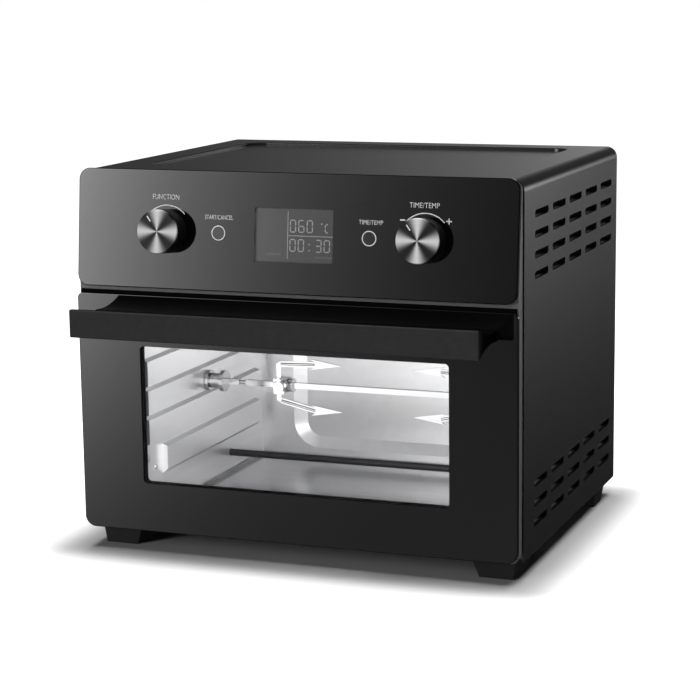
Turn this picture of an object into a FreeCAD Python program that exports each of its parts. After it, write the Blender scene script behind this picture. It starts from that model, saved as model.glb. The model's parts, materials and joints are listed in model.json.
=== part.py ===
"""Countertop air fryer oven with a rotisserie, written as one STEP file per sub-part.

Millimetres. X runs to the right seen from the front, Y runs from front to back, Z is up.
While a shape is built, y = 0 is the front edge of the outer wrap and z = 0 is the ground.
save() then moves every shape back along Y, so that the origin is the middle of the footprint.
"""
import FreeCAD, Part
import math
import os
from FreeCAD import Vector

# ---- driving dimensions -------------------------------------------------------------------
BODY_HALF_WIDTH = 200.0
BODY_DEPTH = 314.0
BODY_TOP = 336.7
FOOT_HEIGHT = 17.0
SHEET = 1.0                      # thickness of every pressed steel sheet
FIT_GAP = 0.5                    # between neighbouring sheets that don't touch
PAST = 1.0                       # how far a cutter runs past what it cuts
FAR = 60.0                       # a reach beyond any sheet or plate
WRAP_CORNER = 10.0               # outside radius of the wrap's two long top edges

PANEL_HALF_WIDTH = 198.9         # control panel: a plate that leans back
PANEL_BOTTOM = 236.8
PANEL_BOTTOM_Y = -17.7
PANEL_LEAN_DEG = 5.98
PANEL_HEIGHT = 102.0
PANEL_THICK = 4.0
PLATE_CORNER = 10.0

DOOR_HALF_WIDTH = 199.8
DOOR_BOTTOM = 19.7
DOOR_TOP = 230.1
DOOR_FRONT_Y = -17.3
DOOR_GLASS_THICK = 4.2
DOOR_TOP_CORNER = 5.0
WINDOW_HALF_WIDTH = 141.0        # clear part of the door glass
WINDOW_BOTTOM = 63.0
WINDOW_TOP = 185.5
WINDOW_CORNER = 4.0

FRAME_HALF_WIDTH = 199.0         # grey frame between wrap, panel and door
FRAME_FRONT_Y = -12.5
FRAME_BACK_Y = 8.0
FRAME_STEP_Y = -2.0              # in front of this the frame is as wide as the body
FRAME_BOTTOM = 17.5
FRAME_TOP = 336.2

HINGE_Y = -9.0
HINGE_Z = 21.5
HINGE_PIN_R = 2.5
RUNNING_GAP = 0.05               # radial clearance of every running fit

HANDLE_HALF_LENGTH = 181.9
HANDLE_FRONT_Y = -67.1
HANDLE_LIP_THICK = 4.6
HANDLE_BOTTOM = 199.2
HANDLE_TOP = 223.2

CONTROLS_X = 2.7                 # centre line of the control layout
CONTROLS_HEIGHT = 49.5           # above the panel's bottom edge, along the panel
KNOB_SPREAD = 116.5
BUTTON_SPREAD = 68.1
DISPLAY_X = 3.2
DISPLAY_WIDTH = 70.8
DISPLAY_HEIGHT = 45.3
KNOB_R = 18.9
KNOB_LENGTH = 20.0
SHAFT_R = 3.0
BUTTON_R = 6.6
BUTTON_TRAVEL = 0.8

CAVITY_HALF_WIDTH = 149.0        # inside faces of the oven's side walls
RAIL_DEPTH = 5.0                 # how far the rack rails stand into the oven
CAVITY_BACK_Y = 267.0
CAVITY_FLOOR = 23.5
CAVITY_CEILING = 215.0

SPIT_Y = 128.5
SPIT_Z = 127.5
SPIT_SIDE = 5.0                  # square rod
FORK_REACH = 63.0                # from a fork's bar to its prong tips
LEFT_FORK_X = -72.0              # bar of each fork
RIGHT_FORK_X = 122.0

FAN_Y = 133.0
SPACER_REACH = 8.0               # how far the wall spacers stand out behind the wrap
ORIGIN_Y = (HANDLE_FRONT_Y + BODY_DEPTH + SPACER_REACH) / 2


# ---- helpers --------------------------------------------------------------------------------
def box(x0, x1, y0, y1, z0, z1):
    return Part.makeBox(x1 - x0, y1 - y0, z1 - z0, Vector(x0, y0, z0))


def edges_along(shape, direction):
    """The straight edges of a shape that run along a direction."""
    found = []
    for edge in shape.Edges:
        if len(edge.Vertexes) == 2:
            run = edge.Vertexes[1].Point - edge.Vertexes[0].Point
            if abs(abs(run.dot(direction)) - run.Length) < 1e-6:
                found.append(edge)
    return found


def rounded(x0, x1, y0, y1, z0, z1, radius, along):
    """A box whose four edges along one axis are rounded."""
    block = box(x0, x1, y0, y1, z0, z1)
    return block.makeFillet(radius, edges_along(block, along))


def plate(x0, x1, y0, y1, z0, z1, radius):
    """An upright plate, facing the front, with rounded corners."""
    return rounded(x0, x1, y0, y1, z0, z1, radius, Vector(0, 1, 0))


def ring_plate(outer, inner, y0, y1, outer_radius, inner_radius):
    """A plate with a rounded opening. outer and inner are (half width, bottom, top)."""
    body = plate(-outer[0], outer[0], y0, y1, outer[1], outer[2], outer_radius)
    hole = plate(-inner[0], inner[0], y0 - 1, y1 + 1, inner[1], inner[2], inner_radius)
    return body.cut(hole)


def rod(start, end, radius):
    """A round bar between two points."""
    run = end - start
    return Part.makeCylinder(radius, run.Length, start, run)


def tube_ring(start, end, outer_radius, inner_radius):
    """A round bar with a hole along its whole length."""
    return rod(start, end, outer_radius).cut(rod(start, end, inner_radius))


def prism(points, axis, start, end):
    """A flat outline extruded along an axis. Its points are in the two other axes, in order."""
    if axis == "x":
        corners = [Vector(start, a, b) for a, b in points]
        run = Vector(end - start, 0, 0)
    elif axis == "y":
        corners = [Vector(a, start, b) for a, b in points]
        run = Vector(0, end - start, 0)
    else:
        corners = [Vector(a, b, start) for a, b in points]
        run = Vector(0, 0, end - start)
    outline = Part.makePolygon(corners + corners[:1])
    return Part.Face(outline).extrude(run)


def swept_tube(points, bend, radius):
    """A round tube along straight runs joined by arcs of one bend radius."""
    edges = []
    last = points[0]
    for before, corner, after in zip(points, points[1:], points[2:]):
        towards = (before - corner).normalize()
        away = (after - corner).normalize()
        turn = math.pi - towards.getAngle(away)
        reach = bend * math.tan(turn / 2)
        enter = corner + towards * reach
        leave = corner + away * reach
        inward = (towards + away).normalize()
        middle = corner + inward * (bend / math.cos(turn / 2) - bend)
        edges.append(Part.LineSegment(last, enter).toShape())
        edges.append(Part.Arc(enter, middle, leave).toShape())
        last = leave
    edges.append(Part.LineSegment(last, points[-1]).toShape())
    path = Part.Wire(edges)
    ring = Part.Wire(Part.makeCircle(radius, points[0], points[1] - points[0]))
    return path.makePipeShell([ring], True, True)


def mirrored(shape):
    return shape.mirror(Vector(0, 0, 0), Vector(1, 0, 0))


def both_sides(shape):
    """A shape together with its mirror image on the other side of the body."""
    return Part.makeCompound([shape, mirrored(shape)])


def on_panel(shape):
    """Place a shape modelled on an upright panel whose bottom front edge is the X axis."""
    placed = shape.copy()
    placed.rotate(Vector(0, 0, 0), Vector(1, 0, 0), -PANEL_LEAN_DEG)
    placed.translate(Vector(0, PANEL_BOTTOM_Y, PANEL_BOTTOM))
    return placed


def save(name, shape):
    moved = shape.copy()
    moved.translate(Vector(0, -ORIGIN_Y, 0))
    moved.exportStep("parts/" + name + ".step")
    if not moved.isValid():
        print("not valid:", name)


# ---- casing -----------------------------------------------------------------------------------
VENT_LENGTH = 42.0
VENT_HEIGHT = 6.4
VENT_CORNER = 2.8
VENT_FIRST_Y = 52.0
VENT_PITCH_Y = 55.0
VENT_PITCH_Z = 17.1
VENT_COLUMNS = 5
UPPER_VENT_Z = 305.3
UPPER_VENT_ROWS = 4
LOWER_VENT_Z = 76.7
LOWER_VENT_ROWS = 3
RECESS_HALF_WIDTH = 162.0        # shallow tray pressed into the top
RECESS_FRONT_Y = 53.0
RECESS_BACK_Y = 285.0
RECESS_DEPTH = 2.5
RECESS_CORNER = 15.0
RECESS_EDGE_R = 1.2              # rounding where the tray's wall meets the top


def top_edges_rounded(x, y0, y1, z0, z1, radius):
    """A block whose two long top edges are rounded."""
    block = box(-x, x, y0, y1, z0, z1)
    top_edges = [e for e in edges_along(block, Vector(0, 1, 0)) if e.CenterOfMass.z > (z0 + z1) / 2]
    return block.makeFillet(radius, top_edges)


def side_vent(y, z):
    """The cutter of one rounded vent slot, through both side walls."""
    reach = BODY_HALF_WIDTH + PAST
    return rounded(-reach, reach, y - VENT_LENGTH / 2, y + VENT_LENGTH / 2,
                   z - VENT_HEIGHT / 2, z + VENT_HEIGHT / 2, VENT_CORNER, Vector(1, 0, 0))


def tray_rim_rounded(wrap):
    """Round the edge where the tray in the top begins."""
    rim = [e for e in wrap.Edges
           if e.BoundBox.ZMin > BODY_TOP - 1e-3 and e.BoundBox.XMax < RECESS_HALF_WIDTH + FIT_GAP
           and e.BoundBox.XMin > -RECESS_HALF_WIDTH - FIT_GAP and e.BoundBox.YMin > RECESS_FRONT_Y - FIT_GAP
           and e.BoundBox.YMax < RECESS_BACK_Y + FIT_GAP]
    return wrap.makeFillet(RECESS_EDGE_R, rim)


def outer_wrap():
    outside = top_edges_rounded(BODY_HALF_WIDTH, 0, BODY_DEPTH, FOOT_HEIGHT, BODY_TOP, WRAP_CORNER)
    inside = top_edges_rounded(BODY_HALF_WIDTH - SHEET, -PAST, BODY_DEPTH + PAST, FOOT_HEIGHT - PAST,
                               BODY_TOP - SHEET, WRAP_CORNER - SHEET)
    pressed = rounded(-RECESS_HALF_WIDTH - SHEET, RECESS_HALF_WIDTH + SHEET,
                      RECESS_FRONT_Y - SHEET, RECESS_BACK_Y + SHEET,
                      BODY_TOP - RECESS_DEPTH - SHEET, BODY_TOP - SHEET / 2,
                      RECESS_CORNER + SHEET, Vector(0, 0, 1))
    recess = rounded(-RECESS_HALF_WIDTH, RECESS_HALF_WIDTH, RECESS_FRONT_Y, RECESS_BACK_Y,
                     BODY_TOP - RECESS_DEPTH, BODY_TOP + PAST, RECESS_CORNER, Vector(0, 0, 1))
    wrap = tray_rim_rounded(outside.cut(inside).fuse(pressed).cut(recess))
    vents = []
    for first_z, rows in ((UPPER_VENT_Z, UPPER_VENT_ROWS), (LOWER_VENT_Z, LOWER_VENT_ROWS)):
        for row in range(rows):
            for column in range(VENT_COLUMNS):
                vents.append(side_vent(VENT_FIRST_Y + column * VENT_PITCH_Y, first_z - row * VENT_PITCH_Z))
    return wrap.cut(Part.makeCompound(vents)).removeSplitter()


BASE_HALF_WIDTH = 198.8
BASE_BACK_Y = 311.5
BASE_FLANGE = 10.0
FLOOR_VENT_LENGTH = 60.0
FLOOR_VENT_WIDTH = 5.0
FLOOR_VENT_CORNER = 2.0
FLOOR_VENT_X = 80.0
FLOOR_VENT_FIRST_Y = 70.0
FLOOR_VENT_PITCH = 25.0
FLOOR_VENT_ROWS = 8


def base_plate():
    sheet = box(-BASE_HALF_WIDTH, BASE_HALF_WIDTH, FRAME_BACK_Y + FIT_GAP, BASE_BACK_Y,
                FOOT_HEIGHT, FOOT_HEIGHT + SHEET)
    flange = box(-BASE_HALF_WIDTH, BASE_HALF_WIDTH, BASE_BACK_Y - SHEET, BASE_BACK_Y,
                 FOOT_HEIGHT, FOOT_HEIGHT + BASE_FLANGE)
    slots = []
    for row in range(FLOOR_VENT_ROWS):
        y = FLOOR_VENT_FIRST_Y + FLOOR_VENT_PITCH * row
        for x in (-FLOOR_VENT_X, FLOOR_VENT_X):
            slots.append(rounded(x - FLOOR_VENT_LENGTH / 2, x + FLOOR_VENT_LENGTH / 2,
                                 y, y + FLOOR_VENT_WIDTH, FOOT_HEIGHT - PAST, FOOT_HEIGHT + SHEET + PAST,
                                 FLOOR_VENT_CORNER, Vector(0, 0, 1)))
    return sheet.fuse(flange).cut(Part.makeCompound(slots))


BACK_COVER_FRONT_Y = 311.6
INLET_X = 150.0
INLET_Z = 60.0
INLET_HOLE_R = 8.0
BACK_VENT_LENGTH = 90.0
BACK_VENT_HEIGHT = 5.0
BACK_VENT_CORNER = 2.2
BACK_VENT_FIRST_Z = 230.0
BACK_VENT_PITCH = 10.0
BACK_VENT_ROWS = 9
BACK_VENT_X = (-110.0, 0.0, 110.0)
SCREW_HOLE_R = 1.8
BACK_SCREW_X = 190.0
BACK_SCREW_LEVELS = (30.0, 130.0, 230.0, 322.0)


def through_back(x, z, radius):
    """A round cutter through the back cover."""
    front, back = BACK_COVER_FRONT_Y, BACK_COVER_FRONT_Y + SHEET
    return rod(Vector(x, front - PAST, z), Vector(x, back + PAST, z), radius)


def back_cover():
    front, back = BACK_COVER_FRONT_Y, BACK_COVER_FRONT_Y + SHEET
    cover = box(-BASE_HALF_WIDTH, BASE_HALF_WIDTH, front, back,
                FOOT_HEIGHT + FIT_GAP, BODY_TOP - SHEET - FIT_GAP)
    corner_limit = top_edges_rounded(BASE_HALF_WIDTH, 0, BODY_DEPTH, FOOT_HEIGHT,
                                     BODY_TOP - SHEET - FIT_GAP / 2, WRAP_CORNER - SHEET)
    cutters = [through_back(INLET_X, INLET_Z, INLET_HOLE_R)]
    for row in range(BACK_VENT_ROWS):
        z = BACK_VENT_FIRST_Z + BACK_VENT_PITCH * row
        for x in BACK_VENT_X:
            cutters.append(rounded(x - BACK_VENT_LENGTH / 2, x + BACK_VENT_LENGTH / 2, front - PAST,
                                   back + PAST, z, z + BACK_VENT_HEIGHT, BACK_VENT_CORNER, Vector(0, 1, 0)))
    for x in (-BACK_SCREW_X, BACK_SCREW_X):
        for z in BACK_SCREW_LEVELS:
            cutters.append(through_back(x, z, SCREW_HOLE_R))
    return cover.common(corner_limit).cut(Part.makeCompound(cutters))


BACK_SCREW_HEAD_R = 3.2
BACK_SCREW_HEAD = 1.3
BACK_SCREW_LENGTH = 8.0
BACK_SCREW_R = 1.6
CROSS_HALVES = (1.8, 0.4)        # half length and half width of the cross slot in the head
CROSS_DEPTH = 0.6


def back_screws():
    """Pan-head screws that hold the back cover."""
    screws = []
    head_y = BACK_COVER_FRONT_Y + SHEET
    tip_y = head_y + BACK_SCREW_HEAD
    for x in (-BACK_SCREW_X, BACK_SCREW_X):
        for z in BACK_SCREW_LEVELS:
            screw = rod(Vector(x, head_y, z), Vector(x, tip_y, z), BACK_SCREW_HEAD_R)
            screw = screw.fuse(rod(Vector(x, head_y - BACK_SCREW_LENGTH, z), Vector(x, head_y, z),
                                   BACK_SCREW_R))
            for half_x, half_z in (CROSS_HALVES, reversed(CROSS_HALVES)):
                screw = screw.cut(box(x - half_x, x + half_x, tip_y - CROSS_DEPTH, tip_y + PAST,
                                      z - half_z, z + half_z))
            screws.append(screw)
    return Part.makeCompound(screws)


SPACER_X = (100.0, 116.0)
SPACER_Z = (180.0, 210.0)
SPACER_CORNER = 3.0


def wall_spacers():
    """Two plastic blocks that keep the hot back away from the wall."""
    front = BACK_COVER_FRONT_Y + SHEET
    back = BODY_DEPTH + SPACER_REACH
    return both_sides(rounded(*SPACER_X, front, back, *SPACER_Z, SPACER_CORNER, Vector(0, 1, 0)))


GLAND_FLANGE = 2.0               # how far both flanges stand over the hole
GLAND_FLANGE_THICK = 2.2
GLAND_PLAY = 0.2
GLAND_INNER_REACH = 5.6          # inwards from the cover
GLAND_NOSE_LENGTH = 6.0
GLAND_NOSE_ROOT_R = 6.5
GLAND_NOSE_TIP_R = 5.0
LEAD_HOLE_R = 3.6


def cord_inlet():
    """The gland in the back cover where the supply lead would come out."""
    def ring(y0, y1, radius):
        return rod(Vector(INLET_X, y0, INLET_Z), Vector(INLET_X, y1, INLET_Z), radius)

    inner = BACK_COVER_FRONT_Y - GLAND_INNER_REACH
    outer = BACK_COVER_FRONT_Y + SHEET + GLAND_PLAY
    root = outer + GLAND_FLANGE_THICK
    neck = ring(inner, root, INLET_HOLE_R - GLAND_PLAY / 2)
    inner_flange = ring(inner, BACK_COVER_FRONT_Y - GLAND_PLAY, INLET_HOLE_R + GLAND_FLANGE)
    outer_flange = ring(outer, root, INLET_HOLE_R + GLAND_FLANGE)
    nose = Part.makeCone(GLAND_NOSE_ROOT_R, GLAND_NOSE_TIP_R, GLAND_NOSE_LENGTH,
                         Vector(INLET_X, root, INLET_Z), Vector(0, 1, 0))
    lead_hole = ring(inner - PAST, root + GLAND_NOSE_LENGTH + PAST, LEAD_HOLE_R)
    return neck.multiFuse([inner_flange, outer_flange, nose]).cut(lead_hole)


FOOT_TOP_INSET = 6.0
FOOT_SIDE_INSET = 2.0            # the outer and front faces slope less
FOOT_BOTTOMS = ((160.0, 190.0, 4.5, 48.5), (165.0, 195.0, 257.0, 283.0))


def level_rectangle(x0, x1, y0, y1, z):
    return Part.makePolygon([Vector(x0, y0, z), Vector(x1, y0, z), Vector(x1, y1, z),
                             Vector(x0, y1, z), Vector(x0, y0, z)])


def feet():
    """Four moulded feet that widen upwards, given by their bottom faces on the right side."""
    pairs = []
    for x0, x1, y0, y1 in FOOT_BOTTOMS:
        bottom = level_rectangle(x0, x1, y0, y1, 0)
        top = level_rectangle(x0 - FOOT_TOP_INSET, x1 + FOOT_SIDE_INSET, y0 - FOOT_SIDE_INSET,
                              y1 + FOOT_TOP_INSET, FOOT_HEIGHT)
        pairs.append(both_sides(Part.makeLoft([bottom, top], True, True)))
    return Part.makeCompound(pairs)


# ---- front frame and control panel ------------------------------------------------------------
LEAN = math.tan(math.radians(PANEL_LEAN_DEG))
PLATE_GAP = 0.1                  # between the panel and the frame behind it
FRAME_CORNER = 8.0
DOOR_OPENING = (176.0, 22.3, 221.0)          # half width, bottom, top
ELECTRONICS_OPENING = (180.0, 246.0, 326.0)
HINGE_SPACE_HALF_WIDTH = 187.0               # room for the hinge arms below the door opening
HINGE_SPACE_BACK_Y = -4.5
HINGE_SPACE_TOP = 44.0
FRAME_CHAMFER = 4.5              # lets the foot of the door swing under the side bars
TONGUE_INSET = 1.4               # the part of the frame that fits inside the wrap
TONGUE_DROP = 1.6
FRAME_OPENING_CORNER = 3.0
LEAN_START = (2.0, 4.0)          # above the panel's foot: where the upright and leaning faces end


def frame_front_at(z):
    """Y of the frame's front face: upright behind the door, leaning behind the panel."""
    behind_plate = PANEL_BOTTOM_Y + PANEL_THICK / math.cos(math.radians(PANEL_LEAN_DEG)) + PLATE_GAP
    return behind_plate + (z - PANEL_BOTTOM) * LEAN


def front_frame():
    upright_end, lean_start = (PANEL_BOTTOM + rise for rise in LEAN_START)
    profile = [(FRAME_STEP_Y, FRAME_BOTTOM), (FRAME_FRONT_Y + FRAME_CHAMFER, FRAME_BOTTOM),
               (FRAME_FRONT_Y, FRAME_BOTTOM + FRAME_CHAMFER), (FRAME_FRONT_Y, upright_end),
               (frame_front_at(lean_start), lean_start), (frame_front_at(FRAME_TOP), FRAME_TOP),
               (FRAME_STEP_Y, FRAME_TOP)]
    rim = prism(profile, "x", -FRAME_HALF_WIDTH, FRAME_HALF_WIDTH)
    outline = plate(-FRAME_HALF_WIDTH, FRAME_HALF_WIDTH, -FAR, FAR, FRAME_BOTTOM, FRAME_TOP, FRAME_CORNER)
    tongue = plate(-FRAME_HALF_WIDTH + TONGUE_INSET, FRAME_HALF_WIDTH - TONGUE_INSET, FRAME_STEP_Y - PAST,
                   FRAME_BACK_Y, FRAME_BOTTOM + SHEET, FRAME_TOP - TONGUE_DROP, FRAME_CORNER - SHEET)
    frame = rim.common(outline).fuse(tongue)
    for half_width, bottom, top in (DOOR_OPENING, ELECTRONICS_OPENING):
        frame = frame.cut(plate(-half_width, half_width, -FAR, FAR, bottom, top, FRAME_OPENING_CORNER))
    hinge_space = box(-HINGE_SPACE_HALF_WIDTH, HINGE_SPACE_HALF_WIDTH, -FAR, HINGE_SPACE_BACK_Y,
                      FRAME_BOTTOM - PAST, HINGE_SPACE_TOP)
    return frame.cut(hinge_space).cut(both_sides(hinge_pin_rod())).removeSplitter()


PIN_X = (166.0, 193.0)


def hinge_pin_rod():
    """The plain pin on the right side, before its collar is added."""
    start, end = (Vector(x, HINGE_Y, HINGE_Z) for x in PIN_X)
    return rod(start, end, HINGE_PIN_R)


BUTTON_HOLE_R = BUTTON_R + 0.3
BUSH_R = 3.5                     # threaded neck of each rotary encoder
BUSH_HOLE_R = 3.8
PANEL_EDGE_R = 0.9               # rounding round the panel's face
DISPLAY_CORNER = 1.0


def control_x(side, spread):
    return CONTROLS_X + side * spread


def across_panel(x, radius, start=-FAR, end=FAR):
    """A round bar square to the panel at the controls' height, before the panel is tilted."""
    return rod(Vector(x, start, CONTROLS_HEIGHT), Vector(x, end, CONTROLS_HEIGHT), radius)


def display_plate(grow, front, back, corner):
    """A plate centred on the display window, grown on all four sides."""
    half_width, half_height = DISPLAY_WIDTH / 2 + grow, DISPLAY_HEIGHT / 2 + grow
    return plate(DISPLAY_X - half_width, DISPLAY_X + half_width, front, back,
                 CONTROLS_HEIGHT - half_height, CONTROLS_HEIGHT + half_height, corner)


def control_panel():
    body = plate(-PANEL_HALF_WIDTH, PANEL_HALF_WIDTH, 0, PANEL_THICK, 0, PANEL_HEIGHT, PLATE_CORNER)
    front_edges = [e for e in body.Edges if e.BoundBox.YMax < 1e-6]
    body = body.makeFillet(PANEL_EDGE_R, front_edges)
    body = body.cut(display_plate(0, -PAST, PANEL_THICK + PAST, DISPLAY_CORNER))
    for side in (-1, 1):
        body = body.cut(across_panel(control_x(side, KNOB_SPREAD), BUSH_HOLE_R))
        body = body.cut(across_panel(control_x(side, BUTTON_SPREAD), BUTTON_HOLE_R))
    return on_panel(body)


LENS_GAP = 0.1
LENS_BACK = 2.2
LCD_FRONT = 2.4
LCD_INSET = 1.0                  # the glass stands this far inside the display window
BEZEL_MARGIN = 3.0
BEZEL_THICK = 7.8


def display_lens():
    return on_panel(display_plate(-LENS_GAP, LENS_GAP, LENS_BACK, DISPLAY_CORNER - LENS_GAP))


def display_module():
    """The liquid-crystal glass in its bezel, behind the lens."""
    bezel_front = PANEL_THICK + 2 * PLATE_GAP
    bezel = display_plate(BEZEL_MARGIN, bezel_front, bezel_front + BEZEL_THICK, DISPLAY_CORNER)
    glass = display_plate(-LCD_INSET, LCD_FRONT, bezel_front, DISPLAY_CORNER)
    return on_panel(bezel.fuse(glass))


BOARD_FRONT = 14.0               # behind the panel's front face
BOARD_THICK = 1.6
BOARD_X = (-150.0, 155.0)
BOARD_RISE = (12.0, 86.0)
CHIP = (40.0, 58.0, 20.0, 38.0, 2.0)         # left, right, bottom, top, thickness
SOCKET = (-60.0, -20.0, 14.0, 24.0, 9.0)
BOARD_HOLE_GAP = 2.0


def control_board():
    back = BOARD_FRONT + BOARD_THICK
    board = box(*BOARD_X, BOARD_FRONT, back, *BOARD_RISE)
    for side in (-1, 1):
        board = board.cut(across_panel(control_x(side, KNOB_SPREAD), SHAFT_R + BOARD_HOLE_GAP))
    for x0, x1, z0, z1, thick in (CHIP, SOCKET):
        board = board.fuse(box(x0, x1, back, back + thick, z0, z1))
    return on_panel(board)


ENCODER_HALF = 6.0
ENCODER_FRONT = 7.0
NECK_FRONT = -1.2


def encoders():
    """The two rotary encoders: square case and threaded neck, bored for the shaft."""
    pair = []
    for side in (-1, 1):
        x, z = control_x(side, KNOB_SPREAD), CONTROLS_HEIGHT
        case = box(x - ENCODER_HALF, x + ENCODER_HALF, ENCODER_FRONT, BOARD_FRONT,
                   z - ENCODER_HALF, z + ENCODER_HALF)
        neck = across_panel(x, BUSH_R, NECK_FRONT, ENCODER_FRONT)
        bore = across_panel(x, SHAFT_R + RUNNING_GAP)
        pair.append(on_panel(case.fuse(neck).cut(bore)))
    return Part.makeCompound(pair)


SHAFT_INSET = 3.0                # the shaft's tip behind the knob's face
SHAFT_BACK_GAP = 0.5


def encoder_shaft(side):
    return on_panel(across_panel(control_x(side, KNOB_SPREAD), SHAFT_R,
                                 SHAFT_INSET - KNOB_LENGTH, BOARD_FRONT - SHAFT_BACK_GAP))


KNOB_GAP = 0.8                   # between the knob's skirt and the panel
CAP_THICK = 2.2
KNURL_COUNT = 72
KNURL_DEPTH = 0.45
KNURL_R = 0.72                   # of the cutter that makes one groove
KNURL_END = 2.5                  # the plain rim at the foot of the knob
SKIRT_THICK = 3.0
HUB_R = 7.0
HUB_RECESS = 9.0                 # depth of the hollow behind the knob
NECK_ROOM = 0.5                  # clearance round the encoder's neck
NECK_ROOM_DEPTH = 2.0


def knob_skirt(side):
    """The knurled grip of a knob, hollow behind, with a hub on the shaft."""
    x, z = control_x(side, KNOB_SPREAD), CONTROLS_HEIGHT
    front = CAP_THICK - KNOB_LENGTH
    skirt = across_panel(x, KNOB_R, front, -KNOB_GAP)
    hollow = tube_ring(Vector(x, -HUB_RECESS, z), Vector(x, 0, z), KNOB_R - SKIRT_THICK, HUB_R)
    bore = across_panel(x, SHAFT_R, SHAFT_INSET - KNOB_LENGTH, PAST)
    neck_room = across_panel(x, BUSH_R + NECK_ROOM, -NECK_ROOM_DEPTH, PAST)
    grooves = []
    for index in range(KNURL_COUNT):
        angle = 2 * math.pi * index / KNURL_COUNT
        gx = x + (KNOB_R + KNURL_DEPTH) * math.cos(angle)
        gz = z + (KNOB_R + KNURL_DEPTH) * math.sin(angle)
        grooves.append(rod(Vector(gx, front - PAST, gz), Vector(gx, -KNOB_GAP - KNURL_END, gz), KNURL_R))
    return on_panel(skirt.cut(hollow).cut(bore).cut(neck_room).cut(Part.makeCompound(grooves)))


CAP_INSET = 0.4
CAP_EDGE_R = 0.6


def knob_cap(side):
    """The spun metal disc on the front of a knob."""
    x, back = control_x(side, KNOB_SPREAD), CAP_THICK - KNOB_LENGTH
    disc = across_panel(x, KNOB_R - CAP_INSET, -KNOB_LENGTH, back)
    rim = [e for e in disc.Edges if e.BoundBox.YMax < back - CAP_THICK / 2 and len(e.Vertexes) == 1]
    return on_panel(disc.makeFillet(CAP_EDGE_R, rim))


SWITCH_FRONT = BOARD_FRONT - 4.0             # tip of a tact switch's plunger
SWITCH_HALF = 3.0
SWITCH_CASE = 3.5
PLUNGER_R = 1.7
BUTTON_PROUD = 0.4
BUTTON_BACK = 4.6
BUTTON_FLANGE = (PANEL_THICK + 0.3, PANEL_THICK + 1.3, BUTTON_R + 1.6)
STEM_R = 1.6
STEM_GAP = 0.3                   # left between stem and plunger when the button is down


def push_button(side):
    x = control_x(side, BUTTON_SPREAD)
    front, back, radius = BUTTON_FLANGE
    face = across_panel(x, BUTTON_R, -BUTTON_PROUD, BUTTON_BACK)
    flange = across_panel(x, radius, front, back)
    stem = across_panel(x, STEM_R, front, SWITCH_FRONT - BUTTON_TRAVEL - STEM_GAP)
    return on_panel(face.fuse(flange).fuse(stem))


def button_switches():
    """The two tact switches on the board behind the buttons."""
    switches = []
    case_front = BOARD_FRONT - SWITCH_CASE
    for side in (-1, 1):
        x, z = control_x(side, BUTTON_SPREAD), CONTROLS_HEIGHT
        case = box(x - SWITCH_HALF, x + SWITCH_HALF, case_front, BOARD_FRONT,
                   z - SWITCH_HALF, z + SWITCH_HALF)
        plunger = across_panel(x, PLUNGER_R, SWITCH_FRONT, case_front)
        switches.append(on_panel(case.fuse(plunger)))
    return Part.makeCompound(switches)


# ---- door ----------------------------------------------------------------------------------------
DOOR_BACK_OF_GLASS = DOOR_FRONT_Y + DOOR_GLASS_THICK
PAN_OUTER = (173.0, 44.0, 219.0)             # half width, bottom, top of the inner door frame
PAN_STEP_Y = -8.6                            # the window tunnel ends here
PAN_BACK_Y = -3.4
INNER_GLASS_HALF_WIDTH = 149.0
INNER_GLASS_MARGIN = 9.0
FLANGE_BOTTOM = 30.0
SCREW_X = 130.0                              # handle screws
SCREW_Z = 211.0
SCREW_HEAD_Y = PAN_BACK_Y - 1.6
SCREW_HEAD = 1.4
SCREW_HEAD_R = 3.8
SCREW_HEAD_ROOM_R = 4.2
SCREW_TIP_Y = -34.0
SCREW_SHANK_R = 2.0
SCREW_CLEARANCE_R = 2.4
DOOR_EDGE_R = 0.7
WINDOW_GAP = 0.05
GLASS_STEP = 0.1                             # the clear middle's faces lie this far inside the border's
SEAT_GAP = 1.5                               # round the inner glass
SEAT_CORNER = 5.0
PAN_CORNER = 6.0
PAN_SHEET = 1.5
FLANGE_HALF_WIDTH = 185.0
FLANGE_OVERLAP = 3.0
FLANGE_GAP = 2.0
NECK_RISE = 8.0
GASKET_THICK = 0.8
INNER_GLASS_THICK = 3.4
INNER_GLASS_CORNER = 4.0
GASKET_LIP = 2.0                             # the gasket's inner edge outside the window


def along_handle_screw(side, y0, y1, radius):
    """A round bar on one handle screw's axis."""
    return rod(Vector(side * SCREW_X, y0, SCREW_Z), Vector(side * SCREW_X, y1, SCREW_Z), radius)


def handle_screw_holes(radius, y0=-FAR, y1=0):
    """Cutters for the two screws that go through the door into the handle."""
    return Part.makeCompound([along_handle_screw(side, y0, y1, radius) for side in (-1, 1)])


def door_panel():
    """The black border of the front glass."""
    body = plate(-DOOR_HALF_WIDTH, DOOR_HALF_WIDTH, DOOR_FRONT_Y, DOOR_BACK_OF_GLASS,
                 DOOR_BOTTOM, DOOR_TOP, DOOR_TOP_CORNER)
    bottom_limit = plate(-DOOR_HALF_WIDTH, DOOR_HALF_WIDTH, -FAR, 0, DOOR_BOTTOM, DOOR_TOP + FAR,
                         PLATE_CORNER)
    body = body.common(bottom_limit)
    front_edges = [e for e in body.Edges if e.BoundBox.YMax < DOOR_FRONT_Y + 1e-3]
    body = body.makeFillet(DOOR_EDGE_R, front_edges)
    opening = plate(-WINDOW_HALF_WIDTH, WINDOW_HALF_WIDTH, -FAR, 0, WINDOW_BOTTOM, WINDOW_TOP, WINDOW_CORNER)
    return body.cut(opening).cut(handle_screw_holes(SCREW_CLEARANCE_R))


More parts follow.
